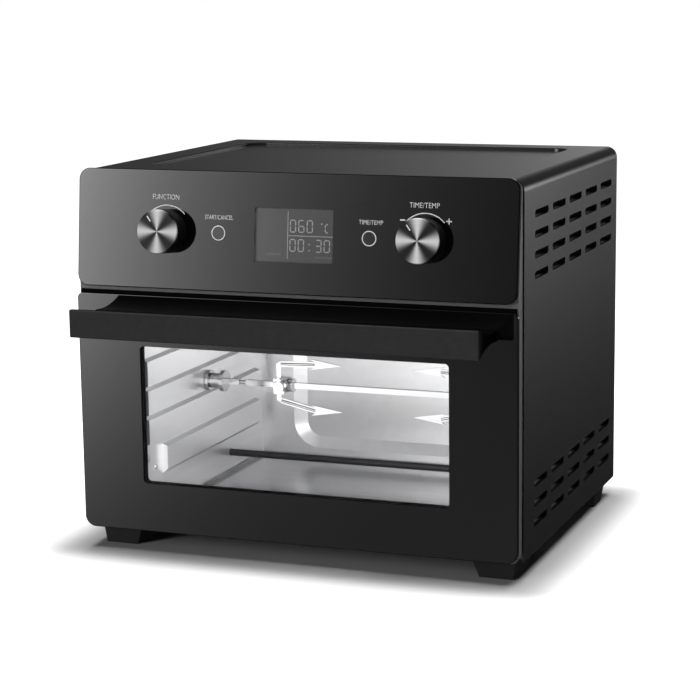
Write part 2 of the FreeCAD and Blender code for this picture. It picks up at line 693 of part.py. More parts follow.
def door_window():
    """The clear middle of the front glass."""
    return plate(-WINDOW_HALF_WIDTH + WINDOW_GAP, WINDOW_HALF_WIDTH - WINDOW_GAP, DOOR_FRONT_Y + GLASS_STEP,
                 DOOR_BACK_OF_GLASS - GLASS_STEP, WINDOW_BOTTOM + WINDOW_GAP, WINDOW_TOP - WINDOW_GAP,
                 WINDOW_CORNER)


def door_inner_frame():
    """The steel frame behind the glass: window tunnel, back rim and lower flange."""
    half_width, bottom, top = PAN_OUTER
    window = (WINDOW_HALF_WIDTH, WINDOW_BOTTOM, WINDOW_TOP)
    seat = (INNER_GLASS_HALF_WIDTH + SEAT_GAP, WINDOW_BOTTOM - INNER_GLASS_MARGIN - SEAT_GAP,
            WINDOW_TOP + INNER_GLASS_MARGIN + SEAT_GAP)
    sheet_back = DOOR_BACK_OF_GLASS + PAN_SHEET
    front = ring_plate(PAN_OUTER, window, DOOR_BACK_OF_GLASS, PAN_STEP_Y, PAN_CORNER, WINDOW_CORNER)
    back = ring_plate(PAN_OUTER, seat, PAN_STEP_Y, PAN_BACK_Y, PAN_CORNER, SEAT_CORNER)
    flange = box(-FLANGE_HALF_WIDTH, FLANGE_HALF_WIDTH, DOOR_BACK_OF_GLASS, sheet_back,
                 FLANGE_BOTTOM, bottom - FLANGE_GAP)
    neck = box(-half_width, half_width, DOOR_BACK_OF_GLASS, sheet_back,
               bottom - FLANGE_OVERLAP, bottom + NECK_RISE)
    frame = front.fuse(back).fuse(flange).fuse(neck).cut(handle_screw_holes(SCREW_CLEARANCE_R))
    return frame.cut(handle_screw_holes(SCREW_HEAD_ROOM_R, SCREW_HEAD_Y)).removeSplitter()


def inner_glass():
    front = PAN_STEP_Y + GASKET_THICK
    return plate(-INNER_GLASS_HALF_WIDTH, INNER_GLASS_HALF_WIDTH, front, front + INNER_GLASS_THICK,
                 WINDOW_BOTTOM - INNER_GLASS_MARGIN, WINDOW_TOP + INNER_GLASS_MARGIN, INNER_GLASS_CORNER)


def inner_glass_gasket():
    """The thin cushion between the inner glass and its seat."""
    outer = (INNER_GLASS_HALF_WIDTH, WINDOW_BOTTOM - INNER_GLASS_MARGIN, WINDOW_TOP + INNER_GLASS_MARGIN)
    inner = (WINDOW_HALF_WIDTH + GASKET_LIP, WINDOW_BOTTOM - GASKET_LIP, WINDOW_TOP + GASKET_LIP)
    return ring_plate(outer, inner, PAN_STEP_Y, PAN_STEP_Y + GASKET_THICK, INNER_GLASS_CORNER,
                      INNER_GLASS_CORNER)


HANDLE_WEB = (206.0, 216.0)                  # the web's under and upper side at the door
HANDLE_DISH_Y = -46.0                        # lowest place of the dish, highest of the hollow
HANDLE_DISH_Z = 217.6
HANDLE_HOLLOW_Z = 204.9
HANDLE_EDGE_R = 1.2
HANDLE_END_R = 0.9


def door_handle():
    """A full-width bar: an upright lip held by a web that is dished above and hollowed below."""
    lip_back = HANDLE_FRONT_Y + HANDLE_LIP_THICK
    lip_low, lip_high = Vector(0, HANDLE_FRONT_Y, HANDLE_BOTTOM), Vector(0, HANDLE_FRONT_Y, HANDLE_TOP)
    back_low, back_high = Vector(0, lip_back, HANDLE_BOTTOM), Vector(0, lip_back, HANDLE_TOP)
    door_low, door_high = (Vector(0, DOOR_FRONT_Y, z) for z in HANDLE_WEB)
    outline = Part.Wire([
        Part.makeLine(lip_low, lip_high),
        Part.makeLine(lip_high, back_high),
        Part.Arc(back_high, Vector(0, HANDLE_DISH_Y, HANDLE_DISH_Z), door_high).toShape(),
        Part.makeLine(door_high, door_low),
        Part.Arc(door_low, Vector(0, HANDLE_DISH_Y, HANDLE_HOLLOW_Z), back_low).toShape(),
        Part.makeLine(back_low, lip_low),
    ])
    bar = Part.Face(outline).extrude(Vector(2 * HANDLE_HALF_LENGTH, 0, 0))
    bar.translate(Vector(-HANDLE_HALF_LENGTH, 0, 0))
    lip_edges = [e for e in edges_along(bar, Vector(1, 0, 0)) if e.CenterOfMass.y < lip_back + 0.1]
    bar = bar.makeFillet(HANDLE_EDGE_R, lip_edges)
    end_edges = [e for e in bar.Edges if e.BoundBox.YMax < lip_back - FIT_GAP
                 and min(abs(e.BoundBox.XMin), abs(e.BoundBox.XMax)) > HANDLE_HALF_LENGTH - 1e-3]
    bar = bar.makeFillet(HANDLE_END_R, end_edges)
    return bar.cut(handle_screw_holes(SCREW_SHANK_R, SCREW_TIP_Y - PAST))


def handle_screws():
    """Screws from inside the door, through the glass, into the handle's web."""
    screws = []
    for side in (-1, 1):
        shank = along_handle_screw(side, SCREW_TIP_Y, SCREW_HEAD_Y, SCREW_SHANK_R)
        head = along_handle_screw(side, SCREW_HEAD_Y, SCREW_HEAD_Y + SCREW_HEAD, SCREW_HEAD_R)
        screws.append(shank.fuse(head))
    return Part.makeCompound(screws)


ARM_X0, ARM_X1 = 177.5, 184.0
ARM_R = 4.0
ARM_BACK = 3.0                               # the link's back face behind the hinge line
ARM_TOP = 38.0
COLLAR_X = (175.2, 177.0)
COLLAR_RISE = 1.0


def on_hinge(x0, x1, radius):
    """A round bar on the hinge line, right side."""
    return rod(Vector(x0, HINGE_Y, HINGE_Z), Vector(x1, HINGE_Y, HINGE_Z), radius)


def hinge_arms():
    """The two eyes at the foot of the door that turn on the hinge pins."""
    link = box(ARM_X0, ARM_X1, DOOR_BACK_OF_GLASS + PAN_SHEET, HINGE_Y + ARM_BACK, HINGE_Z, ARM_TOP)
    bore = on_hinge(ARM_X0 - PAST, ARM_X1 + PAST, HINGE_PIN_R + RUNNING_GAP)
    return both_sides(on_hinge(ARM_X0, ARM_X1, ARM_R).fuse(link).cut(bore))


def hinge_pins():
    """Pins pressed into the side bars of the front frame."""
    return both_sides(hinge_pin_rod().fuse(on_hinge(*COLLAR_X, HINGE_PIN_R + COLLAR_RISE)))


SPRING_X0 = 167.0
SPRING_TURNS = 6
SPRING_PITCH = 1.1
SPRING_WIRE_R = 0.55
SPRING_PIN_GAP = 0.2
SPRING_INNER_R = HINGE_PIN_R + SPRING_PIN_GAP
SPRING_LEG_RISE = 12.0


def hinge_springs():
    """Counterbalance springs wound closely round the pins, each with a leg against the frame."""
    end_x = SPRING_X0 + SPRING_TURNS * SPRING_PITCH
    outer_r = SPRING_INNER_R + 2 * SPRING_WIRE_R
    coil = tube_ring(Vector(SPRING_X0, HINGE_Y, HINGE_Z), Vector(end_x, HINGE_Y, HINGE_Z),
                     outer_r - SPRING_WIRE_R / 2, SPRING_INNER_R)
    ridges = []
    for turn in range(SPRING_TURNS):
        x = SPRING_X0 + turn * SPRING_PITCH
        ridges.append(tube_ring(Vector(x, HINGE_Y, HINGE_Z), Vector(x + SPRING_WIRE_R, HINGE_Y, HINGE_Z),
                                outer_r, SPRING_INNER_R))
    leg_x = SPRING_X0 + SPRING_WIRE_R
    leg_y = HINGE_Y + SPRING_INNER_R + SPRING_WIRE_R
    ridges.append(rod(Vector(leg_x, leg_y, HINGE_Z), Vector(leg_x, leg_y, HINGE_Z + SPRING_LEG_RISE),
                      SPRING_WIRE_R))
    return both_sides(coil.multiFuse(ridges))


# ---- oven cavity -----------------------------------------------------------------------------------
RAILS = ((63.0, 84.0, 38.0, 4.5, 2.0), (93.0, 114.5, 3.0, 2.0, 2.0), (119.0, 140.5, 3.0, 2.0, 2.0),
         (145.0, 167.0, 3.0, 2.0, 2.0))      # bottom, top, front end, lower flank's rise, upper flank's rise
RAIL_BACK_Y = 250.0
HEATER_R = 3.3
LOWER_HEATER_Z = 44.3
FRONT_HEATER_Y = 43.0
REAR_HEATER_Y = 187.5
WALL_HOLE_R = 4.0
DRIVE_HOLE_R = 5.0
UPPER_HEATER_Z = 204.0
HEATER_TAIL_X = 12.0                         # where the upper heater's ends leave through the back wall
PROBE_X, PROBE_Z, PROBE_R = -128.0, 190.0, 2.2
PROBE_GAP = 0.2


def rail_prism(low, high, lower_flank, upper_flank, face_x, wall_x, front, back):
    """A bar whose upper and lower flanks spread from its inner face towards the wall."""
    points = [(face_x, low), (face_x, high), (wall_x, high + upper_flank), (wall_x, low - lower_flank)]
    return prism(points, "y", front, back)


def cavity_side_wall(side):
    """One side wall with its four hollow rails. Racks slide in the gaps between the rails."""
    inner_face = CAVITY_HALF_WIDTH - RAIL_DEPTH
    outer = CAVITY_HALF_WIDTH + SHEET
    wall = box(CAVITY_HALF_WIDTH, outer, 0, CAVITY_BACK_Y, CAVITY_FLOOR, CAVITY_CEILING)
    rails = []
    for low, high, front, lower_flank, upper_flank in RAILS:
        rail = rail_prism(low, high, lower_flank, upper_flank, inner_face, CAVITY_HALF_WIDTH,
                          front, RAIL_BACK_Y)
        hollow = rail_prism(low + SHEET, high - SHEET, lower_flank, upper_flank, inner_face + SHEET,
                            CAVITY_HALF_WIDTH + SHEET, front + SHEET, RAIL_BACK_Y - SHEET)
        rails.append(rail.cut(hollow))
    for y in (FRONT_HEATER_Y, REAR_HEATER_Y):
        wall = wall.cut(rod(Vector(inner_face, y, LOWER_HEATER_Z), Vector(outer + PAST, y, LOWER_HEATER_Z),
                            WALL_HOLE_R))
    if side < 0:
        drive_hole = rod(Vector(inner_face - PAST, SPIT_Y, SPIT_Z), Vector(outer + PAST, SPIT_Y, SPIT_Z),
                         DRIVE_HOLE_R)
        wall = wall.cut(drive_hole)
        rails = [rail.cut(drive_hole) for rail in rails]
    whole = Part.makeCompound([wall] + rails)
    return whole if side > 0 else mirrored(whole)


BACK_RECESS_RIM = (115.5, 34.5, 196.5, 28.0)     # half width, bottom, top and corner at the wall's face
BACK_RECESS_BED = (103.5, 45.0, 186.0, 16.0)     # the same at the bottom of the pressing
BACK_RECESS_DEPTH = 7.0
RECESS_WALL = 0.6                # how far the pressing's inner side stands inside its outer side


def pressed_block(front, grow):
    """The pressing's shape as a solid whose sides slope all round, from a front plane backwards."""
    sections = []
    for depth, outline in ((0, BACK_RECESS_RIM), (BACK_RECESS_DEPTH, BACK_RECESS_BED)):
        half_width, bottom, top, corner = outline
        block = plate(-half_width - grow, half_width + grow, front + depth, front + depth + SHEET,
                      bottom - grow, top + grow, corner + grow)
        faces = [f for f in block.Faces if f.BoundBox.YMax < front + depth + 1e-3]
        sections.append(faces[0].OuterWire)
    return Part.makeLoft(sections, True, True)


def through_wall(x, z, radius):
    """A round cutter through the oven's back wall."""
    return rod(Vector(x, CAVITY_BACK_Y - PAST, z), Vector(x, CAVITY_BACK_Y + SHEET + PAST, z), radius)


def cavity_back():
    """The back wall with its wide pressing, whose sides slope down to a flat bed."""
    half = CAVITY_HALF_WIDTH + SHEET
    wall = box(-half, half, CAVITY_BACK_Y, CAVITY_BACK_Y + SHEET, CAVITY_FLOOR, CAVITY_CEILING)
    shell = pressed_block(CAVITY_BACK_Y + SHEET, 0)
    holes = [through_wall(x, UPPER_HEATER_Z, WALL_HOLE_R) for x in (-HEATER_TAIL_X, HEATER_TAIL_X)]
    holes.append(through_wall(PROBE_X, PROBE_Z, PROBE_R + PROBE_GAP))
    return wall.fuse(shell).cut(pressed_block(CAVITY_BACK_Y, -RECESS_WALL)).cut(Part.makeCompound(holes))


def cavity_floor():
    half = CAVITY_HALF_WIDTH + SHEET
    return box(-half, half, 0, CAVITY_BACK_Y + SHEET, CAVITY_FLOOR - SHEET, CAVITY_FLOOR)


TRAY_HALF_WIDTH = 147.5
TRAY_FRONT_Y = 3.0
TRAY_BACK_Y = 264.0
TRAY_LIFT = 0.2
TRAY_RIM = 4.0
TRAY_LIP = 7.0
TRAY_LIP_BACK_Y = 4.2
GRIP_HALF_LENGTH = 40.0
GRIP_R = 1.6
GRIP_Y = 3.6
GRIP_RISE = 7.5


def crumb_tray():
    """A shallow lift-out tray on the oven floor, with a rolled grip at its front."""
    low = CAVITY_FLOOR + TRAY_LIFT
    width, front, back = TRAY_HALF_WIDTH, TRAY_FRONT_Y, TRAY_BACK_Y
    sheet = box(-width, width, front, back, low, low + SHEET)
    grip_z = low + GRIP_RISE
    rims = [
        box(-width, -width + SHEET, front, back, low, low + TRAY_RIM),
        box(width - SHEET, width, front, back, low, low + TRAY_RIM),
        box(-width, width, back - SHEET, back, low, low + TRAY_RIM),
        box(-width, width, front, TRAY_LIP_BACK_Y, low, low + TRAY_LIP),
        rod(Vector(-GRIP_HALF_LENGTH, GRIP_Y, grip_z), Vector(GRIP_HALF_LENGTH, GRIP_Y, grip_z), GRIP_R),
    ]
    return sheet.multiFuse(rims)


FAN_HOLE_R = 68.0


def above_oven(radius, low, high, x=0.0):
    """An upright round bar on the fan's line."""
    return Part.makeCylinder(radius, high - low, Vector(x, FAN_Y, low))


def cavity_ceiling():
    half = CAVITY_HALF_WIDTH + SHEET
    top = CAVITY_CEILING + SHEET
    sheet = box(-half, half, 0, CAVITY_BACK_Y + SHEET, CAVITY_CEILING, top)
    return sheet.cut(above_oven(FAN_HOLE_R, CAVITY_CEILING - PAST, top + PAST))


GUARD_GAP = 0.2
GUARD_THICK = 2.0
GUARD_RINGS = (12.0, 22.0, 32.0, 42.0, 52.0, 62.0, 72.0)
GUARD_WIRE = 3.0
GUARD_HUB_R = 10.0
GUARD_SPOKES = 6


def fan_guard():
    """The round grille under the fan: rings on spokes."""
    high = CAVITY_CEILING - GUARD_GAP
    low = high - GUARD_THICK
    pieces = []
    for radius in GUARD_RINGS:
        pieces.append(above_oven(radius, low, high).cut(above_oven(radius - GUARD_WIRE, low, high)))
    for index in range(GUARD_SPOKES):
        spoke = box(SHEET, GUARD_RINGS[-1] - SHEET, FAN_Y - GUARD_WIRE / 2, FAN_Y + GUARD_WIRE / 2, low, high)
        spoke.rotate(Vector(0, FAN_Y, 0), Vector(0, 0, 1), 360 * index / GUARD_SPOKES)
        pieces.append(spoke)
    return above_oven(GUARD_HUB_R, low, high).multiFuse(pieces).removeSplitter()


COLLAR_HALF_WIDTH = 175.5                    # sheet collar round the oven's mouth
COLLAR_TOP = 220.4
SEAL_INNER = 151.0
SEAL_OUTER = 158.0
SEAL_BOTTOM = 50.0
SEAL_FRONT_Y = -2.9
SEAL_BACK_Y = -0.05
SEAL_DROP = 0.4
ARCH_CORNER = 3.0


def arch(half_width, inner_half_width, y0, y1, bottom, inner_top, top):
    """An upside-down U of sheet or strip round the oven's mouth."""
    return plate(-half_width, half_width, y0, y1, bottom, top, ARCH_CORNER).cut(
        box(-inner_half_width, inner_half_width, y0 - PAST, y1 + PAST, bottom - PAST, inner_top))


def cavity_flange():
    """The sheet collar that closes the gap between the oven's mouth and the front frame."""
    return arch(COLLAR_HALF_WIDTH, CAVITY_HALF_WIDTH + SHEET, 0, SHEET, CAVITY_FLOOR,
                CAVITY_CEILING + SHEET, COLLAR_TOP)


def door_seal():
    """The soft strip on the collar that the closed door meets."""
    return arch(SEAL_OUTER, SEAL_INNER, SEAL_FRONT_Y, SEAL_BACK_Y, SEAL_BOTTOM,
                CAVITY_CEILING + SHEET + FIT_GAP, COLLAR_TOP - SEAL_DROP)


# ---- heating, air and rotisserie ----------------------------------------------------------------------
TERMINAL_X = 166.0
TERMINAL_PIN = 8.0
TERMINAL_PIN_R = 1.2
INSULATOR_LENGTH = 12.0
INSULATOR_R = 7.0
INSULATOR_GAP = 0.1


def lower_heaters():
    """Two straight tubes across the oven, with their terminal pins outside the walls."""
    tubes = []
    z = LOWER_HEATER_Z
    for y in (FRONT_HEATER_Y, REAR_HEATER_Y):
        tube = rod(Vector(-TERMINAL_X, y, z), Vector(TERMINAL_X, y, z), HEATER_R)
        pin_x = TERMINAL_X + TERMINAL_PIN
        pin = rod(Vector(-pin_x, y, z), Vector(pin_x, y, z), TERMINAL_PIN_R)
        tubes.append(tube.fuse(pin))
    return Part.makeCompound(tubes)


def heater_insulators():
    """Ceramic collars that hold the lower heaters in the side walls."""
    collars = []
    outer = CAVITY_HALF_WIDTH + SHEET
    for y in (FRONT_HEATER_Y, REAR_HEATER_Y):
        start = Vector(outer, y, LOWER_HEATER_Z)
        end = start + Vector(INSULATOR_LENGTH, 0, 0)
        collar = tube_ring(start, end, INSULATOR_R, HEATER_R + INSULATOR_GAP)
        collars += [collar, mirrored(collar)]
    return Part.makeCompound(collars)


LOOP_X = 105.0
LOOP_FRONT_Y = 45.0
LOOP_BACK_Y = 225.0
LOOP_BEND_R = 11.0
HEATER_TAIL_REACH = 14.0         # behind the back wall's face


def upper_heater():
    """A rounded loop below the fan guard whose two ends go out through the back wall."""
    left_half = [(-HEATER_TAIL_X, CAVITY_BACK_Y + HEATER_TAIL_REACH), (-HEATER_TAIL_X, LOOP_BACK_Y),
                 (-LOOP_X, LOOP_BACK_Y), (-LOOP_X, LOOP_FRONT_Y)]
    route = left_half + [(-x, y) for x, y in reversed(left_half)]
    points = [Vector(x, y, UPPER_HEATER_Z) for x, y in route]
    return swept_tube(points, LOOP_BEND_R, HEATER_R)


SHROUD_R = 78.0
SHROUD_HEIGHT = 32.0
SHROUD_SHAFT_HOLE_R = 6.0


def fan_shroud():
    """The round housing above the oven in which the hot-air fan turns."""
    low = CAVITY_CEILING + SHEET
    top = low + SHROUD_HEIGHT
    can = above_oven(SHROUD_R, low, top).cut(above_oven(SHROUD_R - SHEET, low, top - SHEET))
    return can.cut(above_oven(SHROUD_SHAFT_HOLE_R, low, top))


WHEEL_DISC = 1.2
BLADE_THICK = 1.2
FAN_SHAFT_R = 3.0


def bladed_wheel(outer_r, low, height, blades, hub_r, lean_deg):
    """A fan wheel: a thin disc, a hub and upright blades."""
    envelope = above_oven(outer_r, low, low + height)
    pieces = [above_oven(hub_r, low, low + height)]
    for index in range(blades):
        blade = box(hub_r - SHEET, outer_r, FAN_Y - BLADE_THICK / 2, FAN_Y + BLADE_THICK / 2,
                    low, low + height)
        blade.rotate(Vector(outer_r / 2, FAN_Y, 0), Vector(0, 0, 1), lean_deg)
        blade.rotate(Vector(0, FAN_Y, 0), Vector(0, 0, 1), 360 * index / blades)
        pieces.append(blade.common(envelope))
    bore = above_oven(FAN_SHAFT_R, low - PAST, low + height + PAST)
    return above_oven(outer_r, low, low + WHEEL_DISC).multiFuse(pieces).cut(bore).removeSplitter()


HOT_FAN_Z = CAVITY_CEILING + 7
COOLING_FAN_Z = CAVITY_CEILING + 38
MOTOR_Z = CAVITY_CEILING + 56
SHAFT_TOP_RISE = 30.0            # the shaft's end above the motor's foot
MOTOR_R = 26.0
MOTOR_HEIGHT = 28.0
COIL = (20.0, 20.0, 40.0, 4.0, 24.0)         # half width, front and back from the shaft, bottom, top
STRAP_HALF_LENGTH = 84.0
STRAP_HALF_WIDTH = 10.0
STRAP_THICK = 1.5


def hot_air_fan():
    return bladed_wheel(outer_r=62, low=HOT_FAN_Z, height=18, blades=10, hub_r=9, lean_deg=18)


def cooling_fan():
    return bladed_wheel(outer_r=48, low=COOLING_FAN_Z, height=12, blades=12, hub_r=8, lean_deg=12)


def fan_shaft():
    return above_oven(FAN_SHAFT_R, HOT_FAN_Z, MOTOR_Z + SHAFT_TOP_RISE)


def fan_motor():
    """Shaded-pole motor on a strap over the cooling fan, bored for the shaft."""
    can = above_oven(MOTOR_R, MOTOR_Z, MOTOR_Z + MOTOR_HEIGHT)
    coil_half, coil_front, coil_back, coil_low, coil_high = COIL
    coil = box(-coil_half, coil_half, FAN_Y + coil_front, FAN_Y + coil_back,
               MOTOR_Z + coil_low, MOTOR_Z + coil_high)
    y0, y1 = FAN_Y - STRAP_HALF_WIDTH, FAN_Y + STRAP_HALF_WIDTH
    strap = box(-STRAP_HALF_LENGTH, STRAP_HALF_LENGTH, y0, y1, MOTOR_Z - STRAP_THICK, MOTOR_Z)
    leg = box(STRAP_HALF_LENGTH - STRAP_THICK, STRAP_HALF_LENGTH, y0, y1, CAVITY_CEILING + SHEET, MOTOR_Z)
    bore = above_oven(FAN_SHAFT_R + RUNNING_GAP, MOTOR_Z - STRAP_THICK - PAST, MOTOR_Z + MOTOR_HEIGHT + PAST)
    return can.multiFuse([coil, strap, leg, mirrored(leg)]).cut(bore)


GEARBOX_DEPTH = 22.0
GEARBOX_HALF = 24.0
GEARBOX_CORNER = 6.0
SPIT_MOTOR_REACH = 40.0
SPIT_MOTOR_R = 20.0
TAIL_R = 4.0                     # the drive socket's tail
TAIL_LENGTH = 16.0               # beyond the wall's inner face
TAIL_BORE_DEPTH = 18.0


def on_spit(x0, x1, radius):
    """A round bar on the spit's axis."""
    return rod(Vector(x0, SPIT_Y, SPIT_Z), Vector(x1, SPIT_Y, SPIT_Z), radius)


def spit_box(x0, x1, half):
    """A square bar on the spit's axis."""
    return box(x0, x1, SPIT_Y - half, SPIT_Y + half, SPIT_Z - half, SPIT_Z + half)


def rotisserie_motor():
    """Geared motor outside the left wall; the drive socket's tail turns in its bore."""
    wall = -CAVITY_HALF_WIDTH - SHEET
    gearbox = plate(wall - GEARBOX_DEPTH, wall - FIT_GAP, SPIT_Y - GEARBOX_HALF, SPIT_Y + GEARBOX_HALF,
                    SPIT_Z - GEARBOX_HALF, SPIT_Z + GEARBOX_HALF, GEARBOX_CORNER)
    motor = on_spit(wall - SPIT_MOTOR_REACH, wall - GEARBOX_DEPTH, SPIT_MOTOR_R)
    return gearbox.fuse(motor).cut(on_spit(wall - TAIL_BORE_DEPTH, wall + PAST, TAIL_R + RUNNING_GAP))


SOCKET_FACE_X = -CAVITY_HALF_WIDTH + RAIL_DEPTH
SOCKET_STEPS = ((0.0, 3.0, 9.5), (3.0, 14.0, 7.0), (14.0, 18.0, 10.0))     # start, end, radius of each
SOCKET_FLOOR = 5.0               # where the square hole begins
SOCKET_SQUARE_GAP = 0.05
SPIT_START_GAP = 6.0


def drive_socket():
    """The turning cup on the left wall that carries the pointed end of the spit."""
    start = SOCKET_FACE_X + FIT_GAP
    tail = on_spit(-CAVITY_HALF_WIDTH - TAIL_LENGTH, start, TAIL_R)
    steps = [on_spit(start + low, start + high, radius) for low, high, radius in SOCKET_STEPS]
    square = spit_box(start + SOCKET_FLOOR, start + SOCKET_STEPS[-1][1] + PAST,
                      SPIT_SIDE / 2 + SOCKET_SQUARE_GAP)
    return tail.multiFuse(steps).cut(square)


SPIT_END_X = 143.6
JOURNAL_X = 136.0                # where the round journal begins
NECK_X = -108.0
NECK_HALF_LENGTH = 3.5
NECK_R = 0.36 * SPIT_SIDE


def spit_rod():
    """Square rod with a turned neck near the drive end and a round journal at the other."""
    half = SPIT_SIDE / 2
    low, high = NECK_X - NECK_HALF_LENGTH, NECK_X + NECK_HALF_LENGTH
    bar = spit_box(SOCKET_FACE_X + SPIT_START_GAP, JOURNAL_X, half)
    neck = on_spit(low - FIT_GAP, high + FIT_GAP, NECK_R)
    return bar.cut(spit_box(low, high, half + PAST)).fuse(neck).fuse(on_spit(JOURNAL_X, SPIT_END_X, half))


HOOK_THICK = 2.5
HOOK_HALF_WIDTH = 7.0
HOOK_RISE = (-9.0, 6.0)
BACKING_THICK = 1.5
BACKING_RISE = (-16.0, -4.0)
CLEAR_HALF_WIDTH = 4.0           # room for the journal's end behind the hook
CLEAR_DROP = 5.0


def spit_support():
    """The open-topped hook on the right wall in which the journal turns."""
    y, z = SPIT_Y, SPIT_Z
    face = CAVITY_HALF_WIDTH - RAIL_DEPTH
    hook_back = face - BACKING_THICK
    hook_front = hook_back - HOOK_THICK
    slot_r = SPIT_SIDE / 2 + RUNNING_GAP
    top = z + HOOK_RISE[1] + PAST
    hook = box(hook_front, hook_back, y - HOOK_HALF_WIDTH, y + HOOK_HALF_WIDTH,
               z + HOOK_RISE[0], z + HOOK_RISE[1])
    backing = box(hook_back, face, y - HOOK_HALF_WIDTH, y + HOOK_HALF_WIDTH,
                  z + BACKING_RISE[0], z + BACKING_RISE[1])
    bore = on_spit(hook_front - PAST, face + PAST, slot_r)
    mouth = box(hook_front - PAST, hook_back, y - slot_r, y + slot_r, z, top)
    clear = box(hook_back, face + PAST, y - CLEAR_HALF_WIDTH, y + CLEAR_HALF_WIDTH, z - CLEAR_DROP, top)
    return hook.fuse(backing).cut(bore).cut(mouth).cut(clear)


HUB_BACK, HUB_FRONT = -3.0, 10.0             # ends of the clamp block, from the prongs' bar
HUB_RING_END = 15.0                          # toothed ring in front of the block
HUB_RING_R = 6.4
HUB_RING_TEETH = 14
HUB_TOOTH_R = 0.8
SCREW_OFFSET = 5.0
HUB_HALF = 6.5
SCREW_R = 2.0
PRONGS = ((1, 19.5, 20.5), (-1, 15.0, 22.5))   # side of the rod, offset at the bar, offset at the head
STRIP_THICK = 2.0
STRIP_HALF_WIDTH = 2.6
LEG_X = (-2.0, 2.6)                          # edges of the upright leg
RIB_R = 1.2
RIB_FORWARD = 1.0                            # the rib's axis in front of the strip's middle
HEAD_LENGTH = 27.0
HEAD_HALF_WIDTH = 5.0
HEAD_BARB = 4.0                              # how far the barbs sweep back


def fork_prong(side, at_bar, at_head):
    """A flat strip: an upright leg, a long arm along +X and a barbed arrow head, with a rib in front."""
    z = SPIT_Z
    leg_back, leg_front = LEG_X
    bend, head = z + side * at_bar, z + side * at_head
    neck_x = FORK_REACH - HEAD_LENGTH
    out, half = side * STRIP_HALF_WIDTH, side * HEAD_HALF_WIDTH
    outline = [
        (leg_back, z), (leg_back, bend), (leg_front, bend + out), (neck_x, head + out),
        (neck_x - HEAD_BARB, head + half), (FORK_REACH, head), (neck_x - HEAD_BARB, head - half),
        (neck_x, head - out), (leg_front, bend - out), (leg_front, z),
    ]
    strip = prism(outline, "y", SPIT_Y - STRIP_THICK / 2, SPIT_Y + STRIP_THICK / 2)
    rib_y = SPIT_Y - RIB_FORWARD
    rib = rod(Vector(leg_front, rib_y, bend), Vector(neck_x, rib_y, head), RIB_R)
    return strip.fuse(rib)


def spit_fork():
    """A clamp block with two pointed prongs, its bar at x = 0 and its prongs along +X."""
    y, z = SPIT_Y, SPIT_Z
    pieces = [fork_prong(*prong) for prong in PRONGS]
    ring = on_spit(HUB_FRONT, HUB_RING_END, HUB_RING_R)
    for index in range(HUB_RING_TEETH):
        angle = 2 * math.pi * index / HUB_RING_TEETH
        start = Vector(HUB_FRONT + PAST, y + HUB_RING_R * math.cos(angle), z + HUB_RING_R * math.sin(angle))
        ring = ring.cut(rod(start, start + Vector(HUB_RING_END, 0, 0), HUB_TOOTH_R))
    pieces.append(ring)
    square = spit_box(HUB_BACK - PAST, HUB_RING_END + PAST, SPIT_SIDE / 2 + RUNNING_GAP)
    screw_hole = rod(Vector(SCREW_OFFSET, y - HUB_HALF - PAST, z), Vector(SCREW_OFFSET, y, z),
                     SCREW_R + RUNNING_GAP)
    return spit_box(HUB_BACK, HUB_FRONT, HUB_HALF).multiFuse(pieces).cut(square).cut(screw_hole)


SCREW_TIP_GAP = 0.3
THUMB_R = 5.2
THUMB_LOBES = 5
THUMB_LOBE_R = 1.9
THUMB_LOBE_REACH = 6.0
THUMB_LENGTH = 7.6
THUMB_GAP = 0.4                  # between the knob and the block
THUMB_LOBE_INSET = 1.5


def thumb_screw():
    """Lobed screw in the front of a fork's block; its tip faces the spit."""
    x, y, z = SCREW_OFFSET, SPIT_Y, SPIT_Z
    back = y - HUB_HALF - THUMB_GAP
    front = back - THUMB_LENGTH
    tip = y - SPIT_SIDE / 2 - SCREW_TIP_GAP
    pieces = [rod(Vector(x, back - PAST, z), Vector(x, tip, z), SCREW_R)]
    for index in range(THUMB_LOBES):
        angle = math.pi / 2 + 2 * math.pi * index / THUMB_LOBES
        lobe_x = x + THUMB_LOBE_REACH * math.cos(angle)
        lobe_z = z + THUMB_LOBE_REACH * math.sin(angle)
        pieces.append(rod(Vector(lobe_x, front + THUMB_LOBE_INSET, lobe_z), Vector(lobe_x, back, lobe_z),
                          THUMB_LOBE_R))
    return rod(Vector(x, front, z), Vector(x, back, z), THUMB_R).multiFuse(pieces)


def place_left(shape):
    moved = shape.copy()
    moved.translate(Vector(LEFT_FORK_X, 0, 0))
    return moved


def place_right(shape):
    moved = mirrored(shape)
    moved.translate(Vector(RIGHT_FORK_X, 0, 0))
    return moved


# ---- electrical pieces in the side and back spaces ------------------------------------------------------
POWER_BOARD_X = 168.0
POWER_BOARD = (60.0, 190.0, 230.0, 320.0)    # front, back, bottom, top
RELAY = (14.0, 80.0, 100.0, 240.0, 260.0)    # thickness, front, back, bottom, top
HEAT_SINK = (10.0, 110.0, 125.0, 240.0, 270.0)
CAPACITOR = (16.0, 150.0, 290.0, 8.0)        # length, y, z, radius


def power_board():
    """Relay board on stand-offs behind the right wall."""
    x = POWER_BOARD_X
    board = box(x, x + BOARD_THICK, *POWER_BOARD)
    for thick, y0, y1, z0, z1 in (RELAY, HEAT_SINK):
        board = board.fuse(box(x - thick, x, y0, y1, z0, z1))
    length, y, z, radius = CAPACITOR
    return board.fuse(rod(Vector(x - length, y, z), Vector(x, y, z), radius))


CUTOUT_X = 110.0
CUTOUT_R = 9.0
CUTOUT_HEIGHT = 6.0
TAB_HALF_LENGTH = 10.0
TAB_HALF_WIDTH = 3.0
TAB_HEIGHT = 3.0


